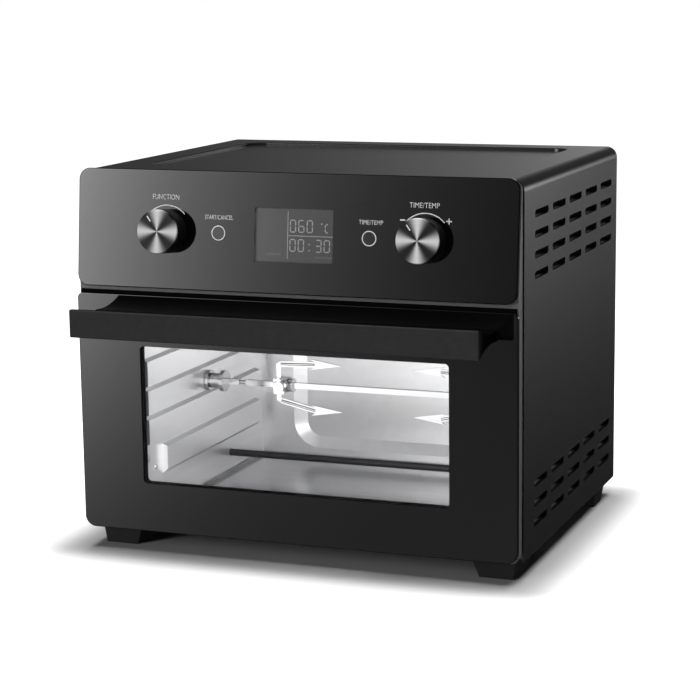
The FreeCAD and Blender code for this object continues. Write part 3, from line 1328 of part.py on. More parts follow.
def thermal_cutout():
    """The over-temperature disc on the oven ceiling."""
    base = CAVITY_CEILING + SHEET
    top = base + CUTOUT_HEIGHT
    tabs = box(CUTOUT_X - TAB_HALF_LENGTH, CUTOUT_X + TAB_HALF_LENGTH, FAN_Y - TAB_HALF_WIDTH,
               FAN_Y + TAB_HALF_WIDTH, top, top + TAB_HEIGHT)
    return above_oven(CUTOUT_R, base, top, CUTOUT_X).fuse(tabs)


PROBE_REACH = 22.0
PROBE_NUT = 5.0
PROBE_NUT_R = 4.5


def temperature_probe():
    """A thin probe that reaches into the oven through the left side of the back wall."""
    tip = Vector(PROBE_X, CAVITY_BACK_Y - PROBE_REACH, PROBE_Z)
    outside = Vector(PROBE_X, CAVITY_BACK_Y + SHEET, PROBE_Z)
    return rod(tip, outside, PROBE_R).fuse(rod(outside, outside + Vector(0, PROBE_NUT, 0), PROBE_NUT_R))


# ---- assembly -----------------------------------------------------------------------------------------
PARTS = {
    "outer_wrap": outer_wrap(),
    "base_plate": base_plate(),
    "back_cover": back_cover(),
    "back_screws": back_screws(),
    "wall_spacers": wall_spacers(),
    "cord_inlet": cord_inlet(),
    "feet": feet(),
    "front_frame": front_frame(),
    "control_panel": control_panel(),
    "display_lens": display_lens(),
    "display_module": display_module(),
    "control_board": control_board(),
    "button_switches": button_switches(),
    "encoders": encoders(),
    "function_shaft": encoder_shaft(-1),
    "time_temp_shaft": encoder_shaft(1),
    "function_knob": knob_skirt(-1),
    "time_temp_knob": knob_skirt(1),
    "function_knob_cap": knob_cap(-1),
    "time_temp_knob_cap": knob_cap(1),
    "start_button": push_button(-1),
    "time_temp_button": push_button(1),
    "door_panel": door_panel(),
    "door_window": door_window(),
    "door_inner_frame": door_inner_frame(),
    "inner_glass": inner_glass(),
    "inner_glass_gasket": inner_glass_gasket(),
    "door_handle": door_handle(),
    "handle_screws": handle_screws(),
    "hinge_arms": hinge_arms(),
    "hinge_pins": hinge_pins(),
    "hinge_springs": hinge_springs(),
    "cavity_left_wall": cavity_side_wall(-1),
    "cavity_right_wall": cavity_side_wall(1),
    "cavity_back": cavity_back(),
    "cavity_floor": cavity_floor(),
    "cavity_ceiling": cavity_ceiling(),
    "cavity_flange": cavity_flange(),
    "crumb_tray": crumb_tray(),
    "door_seal": door_seal(),
    "lower_heaters": lower_heaters(),
    "heater_insulators": heater_insulators(),
    "upper_heater": upper_heater(),
    "fan_guard": fan_guard(),
    "fan_shroud": fan_shroud(),
    "hot_air_fan": hot_air_fan(),
    "cooling_fan": cooling_fan(),
    "fan_shaft": fan_shaft(),
    "fan_motor": fan_motor(),
    "rotisserie_motor": rotisserie_motor(),
    "drive_socket": drive_socket(),
    "spit_rod": spit_rod(),
    "spit_support": spit_support(),
    "left_fork": place_left(spit_fork()),
    "right_fork": place_right(spit_fork()),
    "left_thumbscrew": place_left(thumb_screw()),
    "right_thumbscrew": place_right(thumb_screw()),
    "power_board": power_board(),
    "thermal_cutout": thermal_cutout(),
    "temperature_probe": temperature_probe(),
}

os.makedirs("parts", exist_ok=True)
for part_name, part_shape in PARTS.items():
    save(part_name, part_shape)
print(len(PARTS), "parts written")
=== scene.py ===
"""Looks of a countertop air fryer oven with a rotisserie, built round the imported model.

Metres, in the model's own frame: X to the right seen from the front, Y to the back, Z up.
What is printed on the control panel or shown on its display is laid out in millimetres.
"""
import json
import math

import bpy
from mathutils import Matrix, Vector


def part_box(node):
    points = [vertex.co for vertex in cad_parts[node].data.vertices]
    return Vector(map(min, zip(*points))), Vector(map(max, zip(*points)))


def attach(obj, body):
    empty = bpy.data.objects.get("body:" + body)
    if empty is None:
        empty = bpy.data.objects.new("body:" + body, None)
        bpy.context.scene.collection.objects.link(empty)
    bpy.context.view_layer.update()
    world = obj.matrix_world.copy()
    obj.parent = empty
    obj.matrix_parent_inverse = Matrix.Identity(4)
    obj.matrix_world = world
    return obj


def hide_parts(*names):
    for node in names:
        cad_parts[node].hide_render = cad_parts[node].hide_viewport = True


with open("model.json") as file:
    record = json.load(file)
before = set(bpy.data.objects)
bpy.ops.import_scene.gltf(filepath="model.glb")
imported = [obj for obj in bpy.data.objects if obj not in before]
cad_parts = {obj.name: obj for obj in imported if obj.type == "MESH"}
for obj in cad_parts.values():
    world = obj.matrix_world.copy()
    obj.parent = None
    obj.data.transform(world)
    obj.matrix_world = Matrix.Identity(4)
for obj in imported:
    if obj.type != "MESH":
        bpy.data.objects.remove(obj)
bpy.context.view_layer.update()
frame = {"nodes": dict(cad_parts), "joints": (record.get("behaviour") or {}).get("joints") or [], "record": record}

MM = 0.001


# ---- camera --------------------------------------------------------------------------------
CAMERA_PLACE = Vector((0.66145, -1.73103, 0.50731))
CAMERA_YAW = math.radians(20.94)
CAMERA_PITCH = math.radians(10.5)
CAMERA_ROLL = math.radians(-0.72)
CAMERA_LENS = 106.57             # on the default 36 mm sensor


def add_camera():
    forward = Vector((-math.sin(CAMERA_YAW) * math.cos(CAMERA_PITCH),
                      math.cos(CAMERA_YAW) * math.cos(CAMERA_PITCH),
                      -math.sin(CAMERA_PITCH)))
    right = forward.cross(Vector((0, 0, 1))).normalized()
    up = right.cross(forward)
    rolled_right = right * math.cos(CAMERA_ROLL) + up * math.sin(CAMERA_ROLL)
    rolled_up = up * math.cos(CAMERA_ROLL) - right * math.sin(CAMERA_ROLL)
    data = bpy.data.cameras.new("camera")
    data.lens = CAMERA_LENS
    camera = bpy.data.objects.new("camera", data)
    turn = Matrix((rolled_right, rolled_up, -forward)).transposed().to_4x4()
    camera.matrix_world = Matrix.Translation(CAMERA_PLACE) @ turn
    bpy.context.scene.collection.objects.link(camera)
    bpy.context.scene.camera = camera


# ---- node helpers --------------------------------------------------------------------------
NOISE_DETAIL = 3.0
NOISE_MIDDLE = (0.3, 0.7)        # most of a noise's values lie between these


def math_node(tree, operation, a, b=None):
    node = tree.nodes.new("ShaderNodeMath")
    node.operation = operation
    for socket, value in zip(node.inputs, (a, b)):
        if value is None:
            continue
        if isinstance(value, (int, float)):
            socket.default_value = value
        else:
            tree.links.new(value, socket)
    return node.outputs[0]


def dot_node(tree, vector, constant):
    node = tree.nodes.new("ShaderNodeVectorMath")
    node.operation = "DOT_PRODUCT"
    tree.links.new(vector, node.inputs[0])
    node.inputs[1].default_value = constant
    return node.outputs["Value"]


def mix_node(tree, factor, first, second):
    """A colour between two, each of them a colour or the output of another node."""
    node = tree.nodes.new("ShaderNodeMix")
    node.data_type = "RGBA"
    for socket, color in ((node.inputs["A"], first), (node.inputs["B"], second)):
        if isinstance(color, bpy.types.NodeSocket):
            tree.links.new(color, socket)
        else:
            socket.default_value = (*color, 1)
    tree.links.new(factor, node.inputs["Factor"])
    return node.outputs["Result"]


def noise(tree, per_metre, stretch):
    """Noise in the model's own space; stretch scales the number of features along each axis."""
    coordinates = tree.nodes.new("ShaderNodeTexCoord")
    mapping = tree.nodes.new("ShaderNodeMapping")
    mapping.inputs["Scale"].default_value = [per_metre * along for along in stretch]
    texture = tree.nodes.new("ShaderNodeTexNoise")
    texture.inputs["Scale"].default_value = 1.0
    texture.inputs["Detail"].default_value = NOISE_DETAIL
    tree.links.new(coordinates.outputs["Object"], mapping.inputs["Vector"])
    tree.links.new(mapping.outputs["Vector"], texture.inputs["Vector"])
    return texture.outputs["Fac"]


def spread(tree, value, low, high):
    """Stretch the middle of a noise to the range low..high."""
    node = tree.nodes.new("ShaderNodeMapRange")
    node.inputs["From Min"].default_value = NOISE_MIDDLE[0]
    node.inputs["From Max"].default_value = NOISE_MIDDLE[1]
    node.inputs["To Min"].default_value = low
    node.inputs["To Max"].default_value = high
    tree.links.new(value, node.inputs["Value"])
    return node.outputs["Result"]


def new_material(name):
    material = bpy.data.materials.new(name)
    material.use_nodes = True
    return material, material.node_tree, material.node_tree.nodes["Principled BSDF"]


# ---- light and floor -----------------------------------------------------------------------
# Angles are in degrees. Azimuth 0 is behind the oven, 90 its right side and 180 its front.
SKY_PATCHES = {
    "high key, in the panel": dict(azimuth=-148, elevation=14, width=3.6, height=9, radiance=25.0),
    "low key, in the door glass": dict(azimuth=-148, elevation=-5, width=3.9, height=5.2, radiance=11.5),
    "front floor, in the door glass": dict(azimuth=-165, elevation=-20, width=40, height=7, radiance=0.35),
    "back light, in the top": dict(azimuth=-9, elevation=3, width=5.2, height=5, radiance=1.2),
    "low back light, in the side": dict(azimuth=22, elevation=0, width=1.7, height=5, radiance=10.0),
}
SKY_BASE = 0.02
SOFTBOX_SIZE = 1.6
OVEN_LAMP_DROP = 16 * MM         # below the oven's ceiling
FLOOR_SIZE = 40.0
FLOOR_COLOR = (0.6, 0.6, 0.6, 1)
FLOOR_ROUGHNESS = 0.9
# The floor's glow is held back under and round the oven, which paints a soft shadow there.
FLOOR_GLOW = 0.98                # seen by the camera only, and none under the oven
PAINTED_SHADOW_REACH = 0.038             # how softly the glow ends round the oven's footprint
WHITE = (1, 1, 1, 1)


def sky_patch(tree, direction, azimuth, elevation, width, height, radiance):
    """A soft-edged patch of light: it fades evenly to both sides, and as a bell curve in elevation."""
    angle = math.radians(azimuth)
    ahead = dot_node(tree, direction, (math.sin(angle), math.cos(angle), 0))
    aside = dot_node(tree, direction, (math.cos(angle), -math.sin(angle), 0))
    turn = math_node(tree, "ARCTAN2", aside, ahead)
    rise = math_node(tree, "ARCSINE", dot_node(tree, direction, (0, 0, 1)))
    rise = math_node(tree, "SUBTRACT", rise, math.radians(elevation))
    turn = math_node(tree, "DIVIDE", math_node(tree, "ABSOLUTE", turn), -math.radians(width))
    rise = math_node(tree, "DIVIDE", rise, math.radians(height))
    bell = math_node(tree, "MULTIPLY", math_node(tree, "MULTIPLY", rise, rise), -0.5)
    fade = math_node(tree, "EXPONENT", math_node(tree, "ADD", turn, bell))
    return math_node(tree, "MULTIPLY", fade, radiance)


def add_sky():
    """White behind the oven for the camera, and soft patches of light for everything else."""
    world = bpy.data.worlds.new("studio")
    bpy.context.scene.world = world
    world.use_nodes = True
    tree = world.node_tree
    background = tree.nodes["Background"]
    direction = tree.nodes.new("ShaderNodeTexCoord").outputs["Generated"]
    light = SKY_BASE
    for patch in SKY_PATCHES.values():
        light = math_node(tree, "ADD", sky_patch(tree, direction, **patch), light)
    seen = tree.nodes.new("ShaderNodeLightPath").outputs["Is Camera Ray"]
    light = math_node(tree, "MAXIMUM", light, seen)
    tree.links.new(light, background.inputs["Strength"])
    background.inputs["Color"].default_value = WHITE


def glow_outside_painted_shadow(tree):
    """0 under the oven, rising softly to 1 away from it: where it holds back the floor's glow, it paints a soft
    shadow.
    """
    low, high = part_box("outer_wrap")
    low.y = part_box("door_panel")[0].y
    place = tree.nodes.new("ShaderNodeTexCoord").outputs["Object"]
    squares = []
    for axis in (0, 1):
        direction = [float(index == axis) for index in range(3)]
        middle, half = (low[axis] + high[axis]) / 2, (high[axis] - low[axis]) / 2
        away = math_node(tree, "SUBTRACT", dot_node(tree, place, direction), middle)
        away = math_node(tree, "SUBTRACT", math_node(tree, "ABSOLUTE", away), half)
        away = math_node(tree, "DIVIDE", math_node(tree, "MAXIMUM", away, 0.0), PAINTED_SHADOW_REACH)
        squares.append(math_node(tree, "MULTIPLY", away, away))
    total = math_node(tree, "MULTIPLY", math_node(tree, "ADD", *squares), -1.0)
    return math_node(tree, "SUBTRACT", 1.0, math_node(tree, "EXPONENT", total))


def add_floor():
    half = FLOOR_SIZE / 2
    corners = [(-half, -half, 0), (half, -half, 0), (half, half, 0), (-half, half, 0)]
    mesh = bpy.data.meshes.new("studio_floor")
    mesh.from_pydata(corners, [], [(0, 1, 2, 3)])
    floor = bpy.data.objects.new("studio_floor", mesh)
    bpy.context.scene.collection.objects.link(floor)
    material, tree, shader = new_material("studio_white")
    shader.inputs["Base Color"].default_value = FLOOR_COLOR
    shader.inputs["Roughness"].default_value = FLOOR_ROUGHNESS
    shader.inputs["Emission Color"].default_value = WHITE
    seen = tree.nodes.new("ShaderNodeLightPath").outputs["Is Camera Ray"]
    glow = math_node(tree, "MULTIPLY", seen, FLOOR_GLOW)
    # held back round the oven, the glow paints a soft shadow on the floor
    glow = math_node(tree, "MULTIPLY", glow, glow_outside_painted_shadow(tree))
    tree.links.new(glow, shader.inputs["Emission Strength"])
    mesh.materials.append(material)
    floor.visible_glossy = False


def add_area_light(name, place, size, watts, direction=(0, 0, -1), mirrored=False):
    """A rectangular light that the camera doesn't see; reflections show it only if it is mirrored."""
    data = bpy.data.lights.new(name, "AREA")
    data.shape = "RECTANGLE"
    data.size, data.size_y = size
    data.energy = watts
    light = bpy.data.objects.new(name, data)
    light.location = place
    light.rotation_euler = Vector(direction).to_track_quat("-Z", "Y").to_euler()
    light.visible_glossy = mirrored
    light.visible_camera = False
    bpy.context.scene.collection.objects.link(light)


def add_lights():
    """A large softbox over the oven, and a lamp and two glows that light its inside."""
    lamp_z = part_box("cavity_ceiling")[0].z - OVEN_LAMP_DROP
    add_area_light("top_softbox", place=(0.15, 0.1, 1.7), size=(SOFTBOX_SIZE, SOFTBOX_SIZE), watts=50.0)
    add_area_light("oven_lamp", place=(0.0, -0.02, lamp_z), size=(0.20, 0.16), watts=0.04)
    add_area_light("oven_right_glow", place=(0.14, -0.05, 0.12), size=(0.14, 0.12), watts=0.35,
                   direction=(-1, 0.5, 0), mirrored=True)
    add_area_light("oven_front_glow", place=(-0.02, -0.128, 0.11), size=(0.24, 0.15), watts=0.225,
                   direction=(0, 1, 0), mirrored=True)


# ---- materials -----------------------------------------------------------------------------
EVENLY = (1, 1, 1)
BRUSHED_X = (0.03, 1, 1)
BRUSHED_Y = (1, 0.03, 1)
BROAD_TO_FINE = 12               # how much larger the colour's patches are than the bump's
LEAST_ROUGHNESS = 0.01
# Colour, roughness, and what else differs from the usual values of surface().
PLAIN_FINISHES = {
    "painted_black": dict(color=(0.014, 0.014, 0.015), roughness=0.18, grain=1400, bump_mm=0.004,
                          rough_spread=0.03),
    "frame_grey": dict(color=(0.13, 0.13, 0.135), roughness=0.38, grain=1500, bump_mm=0.008),
    "panel_black": dict(color=(0.002, 0.002, 0.0022), roughness=0.05, grain=120, bump_mm=0.0006,
                        rough_spread=0.02),
    "lcd_grey": dict(color=(0.05, 0.05, 0.051), roughness=0.5, grain=400, mottle=0.05),
    "lcd_light": dict(color=(0.70, 0.70, 0.70), roughness=0.5, grain=2000, mottle=0.2),
    "lcd_faint": dict(color=(0.2, 0.2, 0.2), roughness=0.5, grain=2000, mottle=0.2),
    "print_white": dict(color=(0.88, 0.88, 0.88), roughness=0.45, grain=2500, mottle=0.05),
    "glass_black": dict(color=(0.004, 0.004, 0.0044), roughness=0.03, grain=60, bump_mm=0.0004,
                        rough_spread=0.01),
    "handle_black": dict(color=(0.03, 0.03, 0.031), roughness=0.62, grain=1600, specular=0.15),
    "louvre_black": dict(color=(0.02, 0.02, 0.02), roughness=0.45, grain=1400, specular=0.3),
    "knob_black": dict(color=(0.009, 0.009, 0.0095), roughness=0.28, grain=2500),
    "knob_metal": dict(color=(0.5, 0.5, 0.51), roughness=0.3, metallic=1.0, grain=3000, bump_mm=0.002),
    "button_black": dict(color=(0.01, 0.01, 0.011), roughness=0.12, grain=300, bump_mm=0.001),
    "oven_steel": dict(color=(0.84, 0.84, 0.85), roughness=0.33, metallic=0.8, grain=1800,
                       stretch=BRUSHED_Y, bump_mm=0.0006, mottle=0.03, rough_spread=0.02),
    "floor_steel": dict(color=(0.31, 0.31, 0.315), roughness=0.22, metallic=1.0, grain=1400,
                        stretch=BRUSHED_X, bump_mm=0.004, mottle=0.06),
    "door_steel": dict(color=(0.002, 0.002, 0.002), roughness=0.6, grain=1200, specular=0.03),
    "heater_dark": dict(color=(0.012, 0.012, 0.012), roughness=0.5, grain=2000, specular=0.3),
    "polished_steel": dict(color=(0.5, 0.5, 0.505), roughness=0.12, metallic=1.0, grain=2200,
                           stretch=BRUSHED_X, bump_mm=0.002, mottle=0.03),
    "zinc_steel": dict(color=(0.62, 0.62, 0.64), roughness=0.32, metallic=1.0, grain=1500),
    "motor_steel": dict(color=(0.5, 0.5, 0.52), roughness=0.4, metallic=1.0, grain=1200),
    "fan_aluminium": dict(color=(0.7, 0.7, 0.72), roughness=0.32, metallic=1.0, grain=1600),
    "ceramic": dict(color=(0.82, 0.80, 0.75), roughness=0.25, grain=500),
    "board_green": dict(color=(0.03, 0.16, 0.07), roughness=0.4, grain=600, mottle=0.3),
    "module_black": dict(color=(0.02, 0.02, 0.022), roughness=0.45, grain=1200),
    "black_plastic": dict(color=(0.017, 0.017, 0.0175), roughness=0.5, grain=1600, bump_mm=0.03,
                          specular=0.25),
    "seal_rubber": dict(color=(0.02, 0.02, 0.02), roughness=0.6, grain=1500, bump_mm=0.02),
}
SPUN_RINGS_GRAIN = 2600
# The caps' four bright sectors are painted highlights, fixed in the colour.
SPUN_HIGHLIGHT_SECTORS = 4
SPUN_SHARPNESS = 2.0             # of the sectors' edges
SPUN_DARK = (0.004, 0.004, 0.004)
SPUN_PAINTED_HIGHLIGHT = (0.80, 0.80, 0.80)
SPUN_ROUGHNESS = (0.36, 0.46)
SPUN_RIPPLE = (0.88, 1.0)        # how far the rings dim the sectors
SPUN_SPECULAR = 0.15
# The web behind the handle's lip is painted nearly black as shade, from this depth behind the lip's front.
LIP_UNSHADED_DEPTH = 1.2 * MM
WEB_PAINTED_SHADE = (0.001, 0.001, 0.001)


def surface(name, color, roughness, metallic=0.0, grain=900, stretch=EVENLY, bump_mm=0.01,
            mottle=0.10, rough_spread=0.05, specular=0.5):
    """A finish whose colour and roughness vary a little, over a fine bump."""
    material, tree, shader = new_material(name)
    shader.inputs["Metallic"].default_value = metallic
    shader.inputs["Specular IOR Level"].default_value = specular
    fine = noise(tree, grain, stretch)
    broad = noise(tree, grain / BROAD_TO_FINE, stretch)
    darker = [part * (1 - mottle) for part in color]
    lighter = [min(part * (1 + mottle), 1) for part in color]
    tones = mix_node(tree, spread(tree, broad, 0, 1), darker, lighter)
    tree.links.new(tones, shader.inputs["Base Color"])
    smoothest = max(roughness - rough_spread, LEAST_ROUGHNESS)
    tree.links.new(spread(tree, fine, smoothest, roughness + rough_spread), shader.inputs["Roughness"])
    bump = tree.nodes.new("ShaderNodeBump")
    bump.inputs["Strength"].default_value = 1.0
    bump.inputs["Distance"].default_value = bump_mm * MM
    tree.links.new(fine, bump.inputs["Height"])
    tree.links.new(bump.outputs["Normal"], shader.inputs["Normal"])
    return material


def clear_pane(name, tint, opacity, index):
    """Glass that lets straight light through; opacity and index together set its gloss."""
    material = surface(name, tint, roughness=0.02, grain=200, bump_mm=0.0005, mottle=0.02, rough_spread=0.01)
    shader = material.node_tree.nodes["Principled BSDF"]
    shader.inputs["Alpha"].default_value = opacity
    shader.inputs["IOR"].default_value = index
    return material


def spun_metal():
    """Turned aluminium: fine rings round the knob's axis, and four bright sectors painted into its colour as
    highlights.
    """
    material, tree, shader = new_material("spun_metal")
    shader.inputs["Specular IOR Level"].default_value = SPUN_SPECULAR
    place = tree.nodes.new("ShaderNodeTexCoord").outputs["Object"]
    x, y = dot_node(tree, place, (1, 0, 0)), dot_node(tree, place, (0, 1, 0))
    squares = [math_node(tree, "MULTIPLY", along, along) for along in (x, y)]
    radius = math_node(tree, "SQRT", math_node(tree, "ADD", *squares))
    rings = tree.nodes.new("ShaderNodeTexNoise")
    rings.noise_dimensions = "1D"
    rings.inputs["Scale"].default_value = SPUN_RINGS_GRAIN
    tree.links.new(radius, rings.inputs["W"])
    # painted highlights: four bright sectors round the axis
    turns = math_node(tree, "MULTIPLY", math_node(tree, "ARCTAN2", y, x), SPUN_HIGHLIGHT_SECTORS)
    sectors = math_node(tree, "ADD", math_node(tree, "COSINE", turns), 1.0)
    sectors = math_node(tree, "POWER", math_node(tree, "MULTIPLY", sectors, 0.5), SPUN_SHARPNESS)
    ripple = spread(tree, rings.outputs["Fac"], *SPUN_RIPPLE)
    tones = mix_node(tree, math_node(tree, "MULTIPLY", sectors, ripple), SPUN_DARK, SPUN_PAINTED_HIGHLIGHT)
    tree.links.new(tones, shader.inputs["Base Color"])
    tree.links.new(spread(tree, rings.outputs["Fac"], *SPUN_ROUGHNESS), shader.inputs["Roughness"])
    return material


def paint_shade_on_handle_web(material):
    """The handle's lip keeps its satin finish; the web behind the lip is painted nearly black as shade."""
    tree = material.node_tree
    base = tree.nodes["Principled BSDF"].inputs["Base Color"]
    lip_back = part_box("door_handle")[0].y + LIP_UNSHADED_DEPTH
    place = tree.nodes.new("ShaderNodeTexCoord").outputs["Object"]
    behind = math_node(tree, "GREATER_THAN", dot_node(tree, place, (0, 1, 0)), lip_back)
    tree.links.new(mix_node(tree, behind, base.links[0].from_socket, WEB_PAINTED_SHADE), base)


def build_finishes():
    """One material for each slot of the record and for each finish of a piece."""
    finishes = {name: surface(name, **look) for name, look in PLAIN_FINISHES.items()}
    finishes["smoked_lens"] = clear_pane("smoked_lens", tint=(0.02, 0.02, 0.022), opacity=0.2, index=2.3)
    finishes["clear_glass"] = clear_pane("clear_glass", tint=(0.02, 0.022, 0.022), opacity=0.04, index=1.7)
    finishes["spun_metal"] = spun_metal()
    paint_shade_on_handle_web(finishes["handle_black"])
    return finishes


def dress_cad_nodes():
    for part in frame["record"]["subparts"]:
        slots = frame["nodes"][part["node"]].data.materials
        slots.clear()
        slots.append(finishes[part["material_slot"]])


# ---- pieces --------------------------------------------------------------------------------
def add_piece(name, vertices, faces, finish, body, place=None, smooth=False):
    mesh = bpy.data.meshes.new(name)
    mesh.from_pydata(vertices, [], faces)
    mesh.update()
    return finish_piece(name, mesh, finish, body, place, smooth)


def finish_piece(name, mesh, finish, body, place=None, smooth=False):
    """Put a mesh in the scene with its finish, its place and the body that it moves with."""
    mesh.materials.clear()
    mesh.materials.append(finishes[finish])
    mesh.polygons.foreach_set("use_smooth", [smooth] * len(mesh.polygons))
    piece = bpy.data.objects.new(name, mesh)
    bpy.context.scene.collection.objects.link(piece)
    if place is not None:
        piece.matrix_world = place
    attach(piece, body)
    return piece


def band(first, second, count):
    """The quads between two rings of vertices, given by the number that each ring starts at."""
    nexts = [(i + 1) % count for i in range(count)]
    return [[first + i, first + j, second + j, second + i] for i, j in enumerate(nexts)]


def flat_bars(outlines, thickness):
    """Vertices and faces of flat polygons, each given counter-clockwise, raised by a thickness."""
    vertices, faces = [], []
    for outline in outlines:
        start, count = len(vertices), len(outline)
        vertices += [(x, y, 0) for x, y in outline] + [(x, y, thickness) for x, y in outline]
        faces.append([start + i for i in reversed(range(count))])
        faces.append([start + count + i for i in range(count)])
        faces += band(start, start + count, count)
    return vertices, faces


def bar(x0, x1, y0, y1):
    return [(x0, y0), (x1, y0), (x1, y1), (x0, y1)]


def in_metres(outlines):
    return [[(x * MM, y * MM) for x, y in outline] for outline in outlines]


def ring_sectors(inner, outer, start_deg, end_deg, steps):
    """The quads of a flat arc, from its start angle to its end angle."""
    angles = [math.radians(start_deg + (end_deg - start_deg) * step / steps) for step in range(steps + 1)]
    turns = [(math.cos(angle), math.sin(angle)) for angle in angles]
    sectors = []
    for (cos_a, sin_a), (cos_b, sin_b) in zip(turns, turns[1:]):
        sectors.append([(outer * cos_a, outer * sin_a), (outer * cos_b, outer * sin_b),
                        (inner * cos_b, inner * sin_b), (inner * cos_a, inner * sin_a)])
    return sectors


def lathe(profile, steps):
    """Turn a profile of (radius, height) round the Z axis; it starts and ends on the axis."""
    vertices = [(0, 0, profile[0][1])]
    rings = profile[1:-1]
    for radius, height in rings:
        for step in range(steps):
            angle = 2 * math.pi * step / steps
            vertices.append((radius * math.cos(angle), radius * math.sin(angle), height))
    vertices.append((0, 0, profile[-1][1]))
    last, top = len(vertices) - 1, 1 + (len(rings) - 1) * steps
    faces = []
    for step in range(steps):
        following = (step + 1) % steps
        faces += [(0, 1 + following, 1 + step), (top + step, top + following, last)]
    for ring in range(len(rings) - 1):
        low = 1 + ring * steps
        faces += band(low, low + steps, steps)
    return vertices, faces


def thick_grid(points, shift):
    """A closed shell between a grid of points and the same grid shifted."""
    rows, columns = len(points), len(points[0])
    flat = [point for row in points for point in row]
    vertices = flat + [tuple(a + b for a, b in zip(point, shift)) for point in flat]
    offset = rows * columns
    faces = []
    for row in range(rows - 1):
        for column in range(columns - 1):
            near, far = row * columns + column, (row + 1) * columns + column
            quad = [near, near + 1, far + 1, far]
            faces.append(quad)
            faces.append([offset + i for i in reversed(quad)])
    rim = list(range(columns)) + [row * columns + columns - 1 for row in range(1, rows)]
    rim += [(rows - 1) * columns + column for column in reversed(range(columns - 1))]
    rim += [row * columns for row in reversed(range(1, rows - 1))]
    for a, b in zip(rim, rim[1:] + rim[:1]):
        faces.append([b, a, offset + a, offset + b])
    return vertices, faces


# ---- control panel -------------------------------------------------------------------------
JOINTS = {joint["name"]: joint for joint in frame["joints"]}
KNOB_X = {knob: JOINTS[knob + "_turn"]["pos_m"][0] for knob in ("function", "time_temp")}
CONTROLS_PLACE = Vector(JOINTS["function_turn"]["pos_m"])
PANEL_OUT = Vector(JOINTS["function_turn"]["axis"]).normalized()
PANEL_RIGHT = Vector((1, 0, 0))
PANEL_UP = PANEL_OUT.cross(PANEL_RIGHT)
PRINT_THICK = 0.03 * MM

KNOB_R = 18.5 * MM
KNOB_LENGTH = 20 * MM
CAP_THICK = 2.2 * MM
CAP_CROWN = 0.03 * MM            # its middle stands this far above its rim, and it sinks as far in
CAP_BEVEL = 0.6 * MM
BEVEL_ROUND = 0.3                # where the bevel's middle point lies, as a part of the bevel
CAP_STEPS = 96
POINTER_FROM = 0.56 * KNOB_R
POINTER_TO = 0.86 * KNOB_R
POINTER_HALF_WIDTH = 0.45 * MM
POINTER_SINK = 0.02 * MM
POINTER_TURN = math.radians(126)

ARC_INNER_R = 21.8 * MM
ARC_OUTER_R = 22.7 * MM
ARC_DEGREES = (42, 138)
ARC_STEPS = 48
RING_INNER_R = 5.6 * MM
RING_OUTER_R = 6.4 * MM
RING_STEPS = 72
BUTTON_PROUD = 0.4 * MM          # of the panel's face


def on_panel(x, up=0.0, out=0.0):
    """The place of a point on the control panel, in the panel's own directions."""
    origin = Vector((x, CONTROLS_PLACE.y, CONTROLS_PLACE.z)) + PANEL_UP * up + PANEL_OUT * out
    turn = Matrix((PANEL_RIGHT, PANEL_UP, PANEL_OUT)).transposed().to_4x4()
    return Matrix.Translation(origin) @ turn


def add_knob_cap(name, x):
    """The spun cap of a knob, and the white line on it that points at the printed arc."""
    rim = CAP_THICK - CAP_CROWN
    profile = [(0, -CAP_CROWN),
               (KNOB_R, -CAP_CROWN),
               (KNOB_R, rim - CAP_BEVEL),
               (KNOB_R - CAP_BEVEL * BEVEL_ROUND, rim - CAP_BEVEL * BEVEL_ROUND),
               (KNOB_R - CAP_BEVEL, rim),
               (KNOB_R / 2, rim + CAP_CROWN * 2 / 3),
               (0, CAP_THICK)]
    vertices, faces = lathe(profile, CAP_STEPS)
    body = name + "_knob_body"
    place = on_panel(x, out=KNOB_LENGTH - CAP_THICK)
    cap = add_piece(name + "_spun_cap", vertices, faces, "spun_metal", body, place)
    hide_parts(name + "_knob_cap")
    pointer = bar(POINTER_FROM, POINTER_TO, -POINTER_HALF_WIDTH, POINTER_HALF_WIDTH)
    vertices, faces = flat_bars([pointer], PRINT_THICK)
    place = on_panel(x, out=KNOB_LENGTH - POINTER_SINK) @ Matrix.Rotation(POINTER_TURN, 4, "Z")
    add_piece(name + "_pointer", vertices, faces, "print_white", body, place)


def add_panel_mark(name, outlines, place):
    vertices, faces = flat_bars(outlines, PRINT_THICK)
    add_piece(name, vertices, faces, "print_white", "case", place)


LETTER_THINNING = -0.010         # of the letters' height
LETTER_RAISE = 0.01              # before the letters are scaled to PRINT_THICK
# Millimetres: x of the middle, its height above the controls' middle, width and capital height.
LABELS = {
    "label_function": ("FUNCTION", KNOB_X["function"] / MM - 1.4, 29.3, 24.7, 4.3),
    "label_time_large": ("TIME/TEMP", KNOB_X["time_temp"] / MM - 1.0, 28.7, 25.9, 4.3),
    "label_start": ("START/CANCEL", -65.2, 13.3, 26.0, 3.7),
    "label_time_small": ("TIME/TEMP", 72.0, 13.3, 21.2, 3.7),
}
# Millimetres: x of each sign's middle, and the bars that it is made of.
SIGNS = {
    "mark_minus": (99.5, [bar(-2.2, 2.2, -0.55, 0.55)]),
    "mark_plus": (139.6, [bar(-2.4, 2.4, -0.45, 0.45), bar(-0.45, 0.45, 0.45, 2.4),
                          bar(-0.45, 0.45, -2.4, -0.45)]),
}
SIGNS_UP = 16.2 * MM


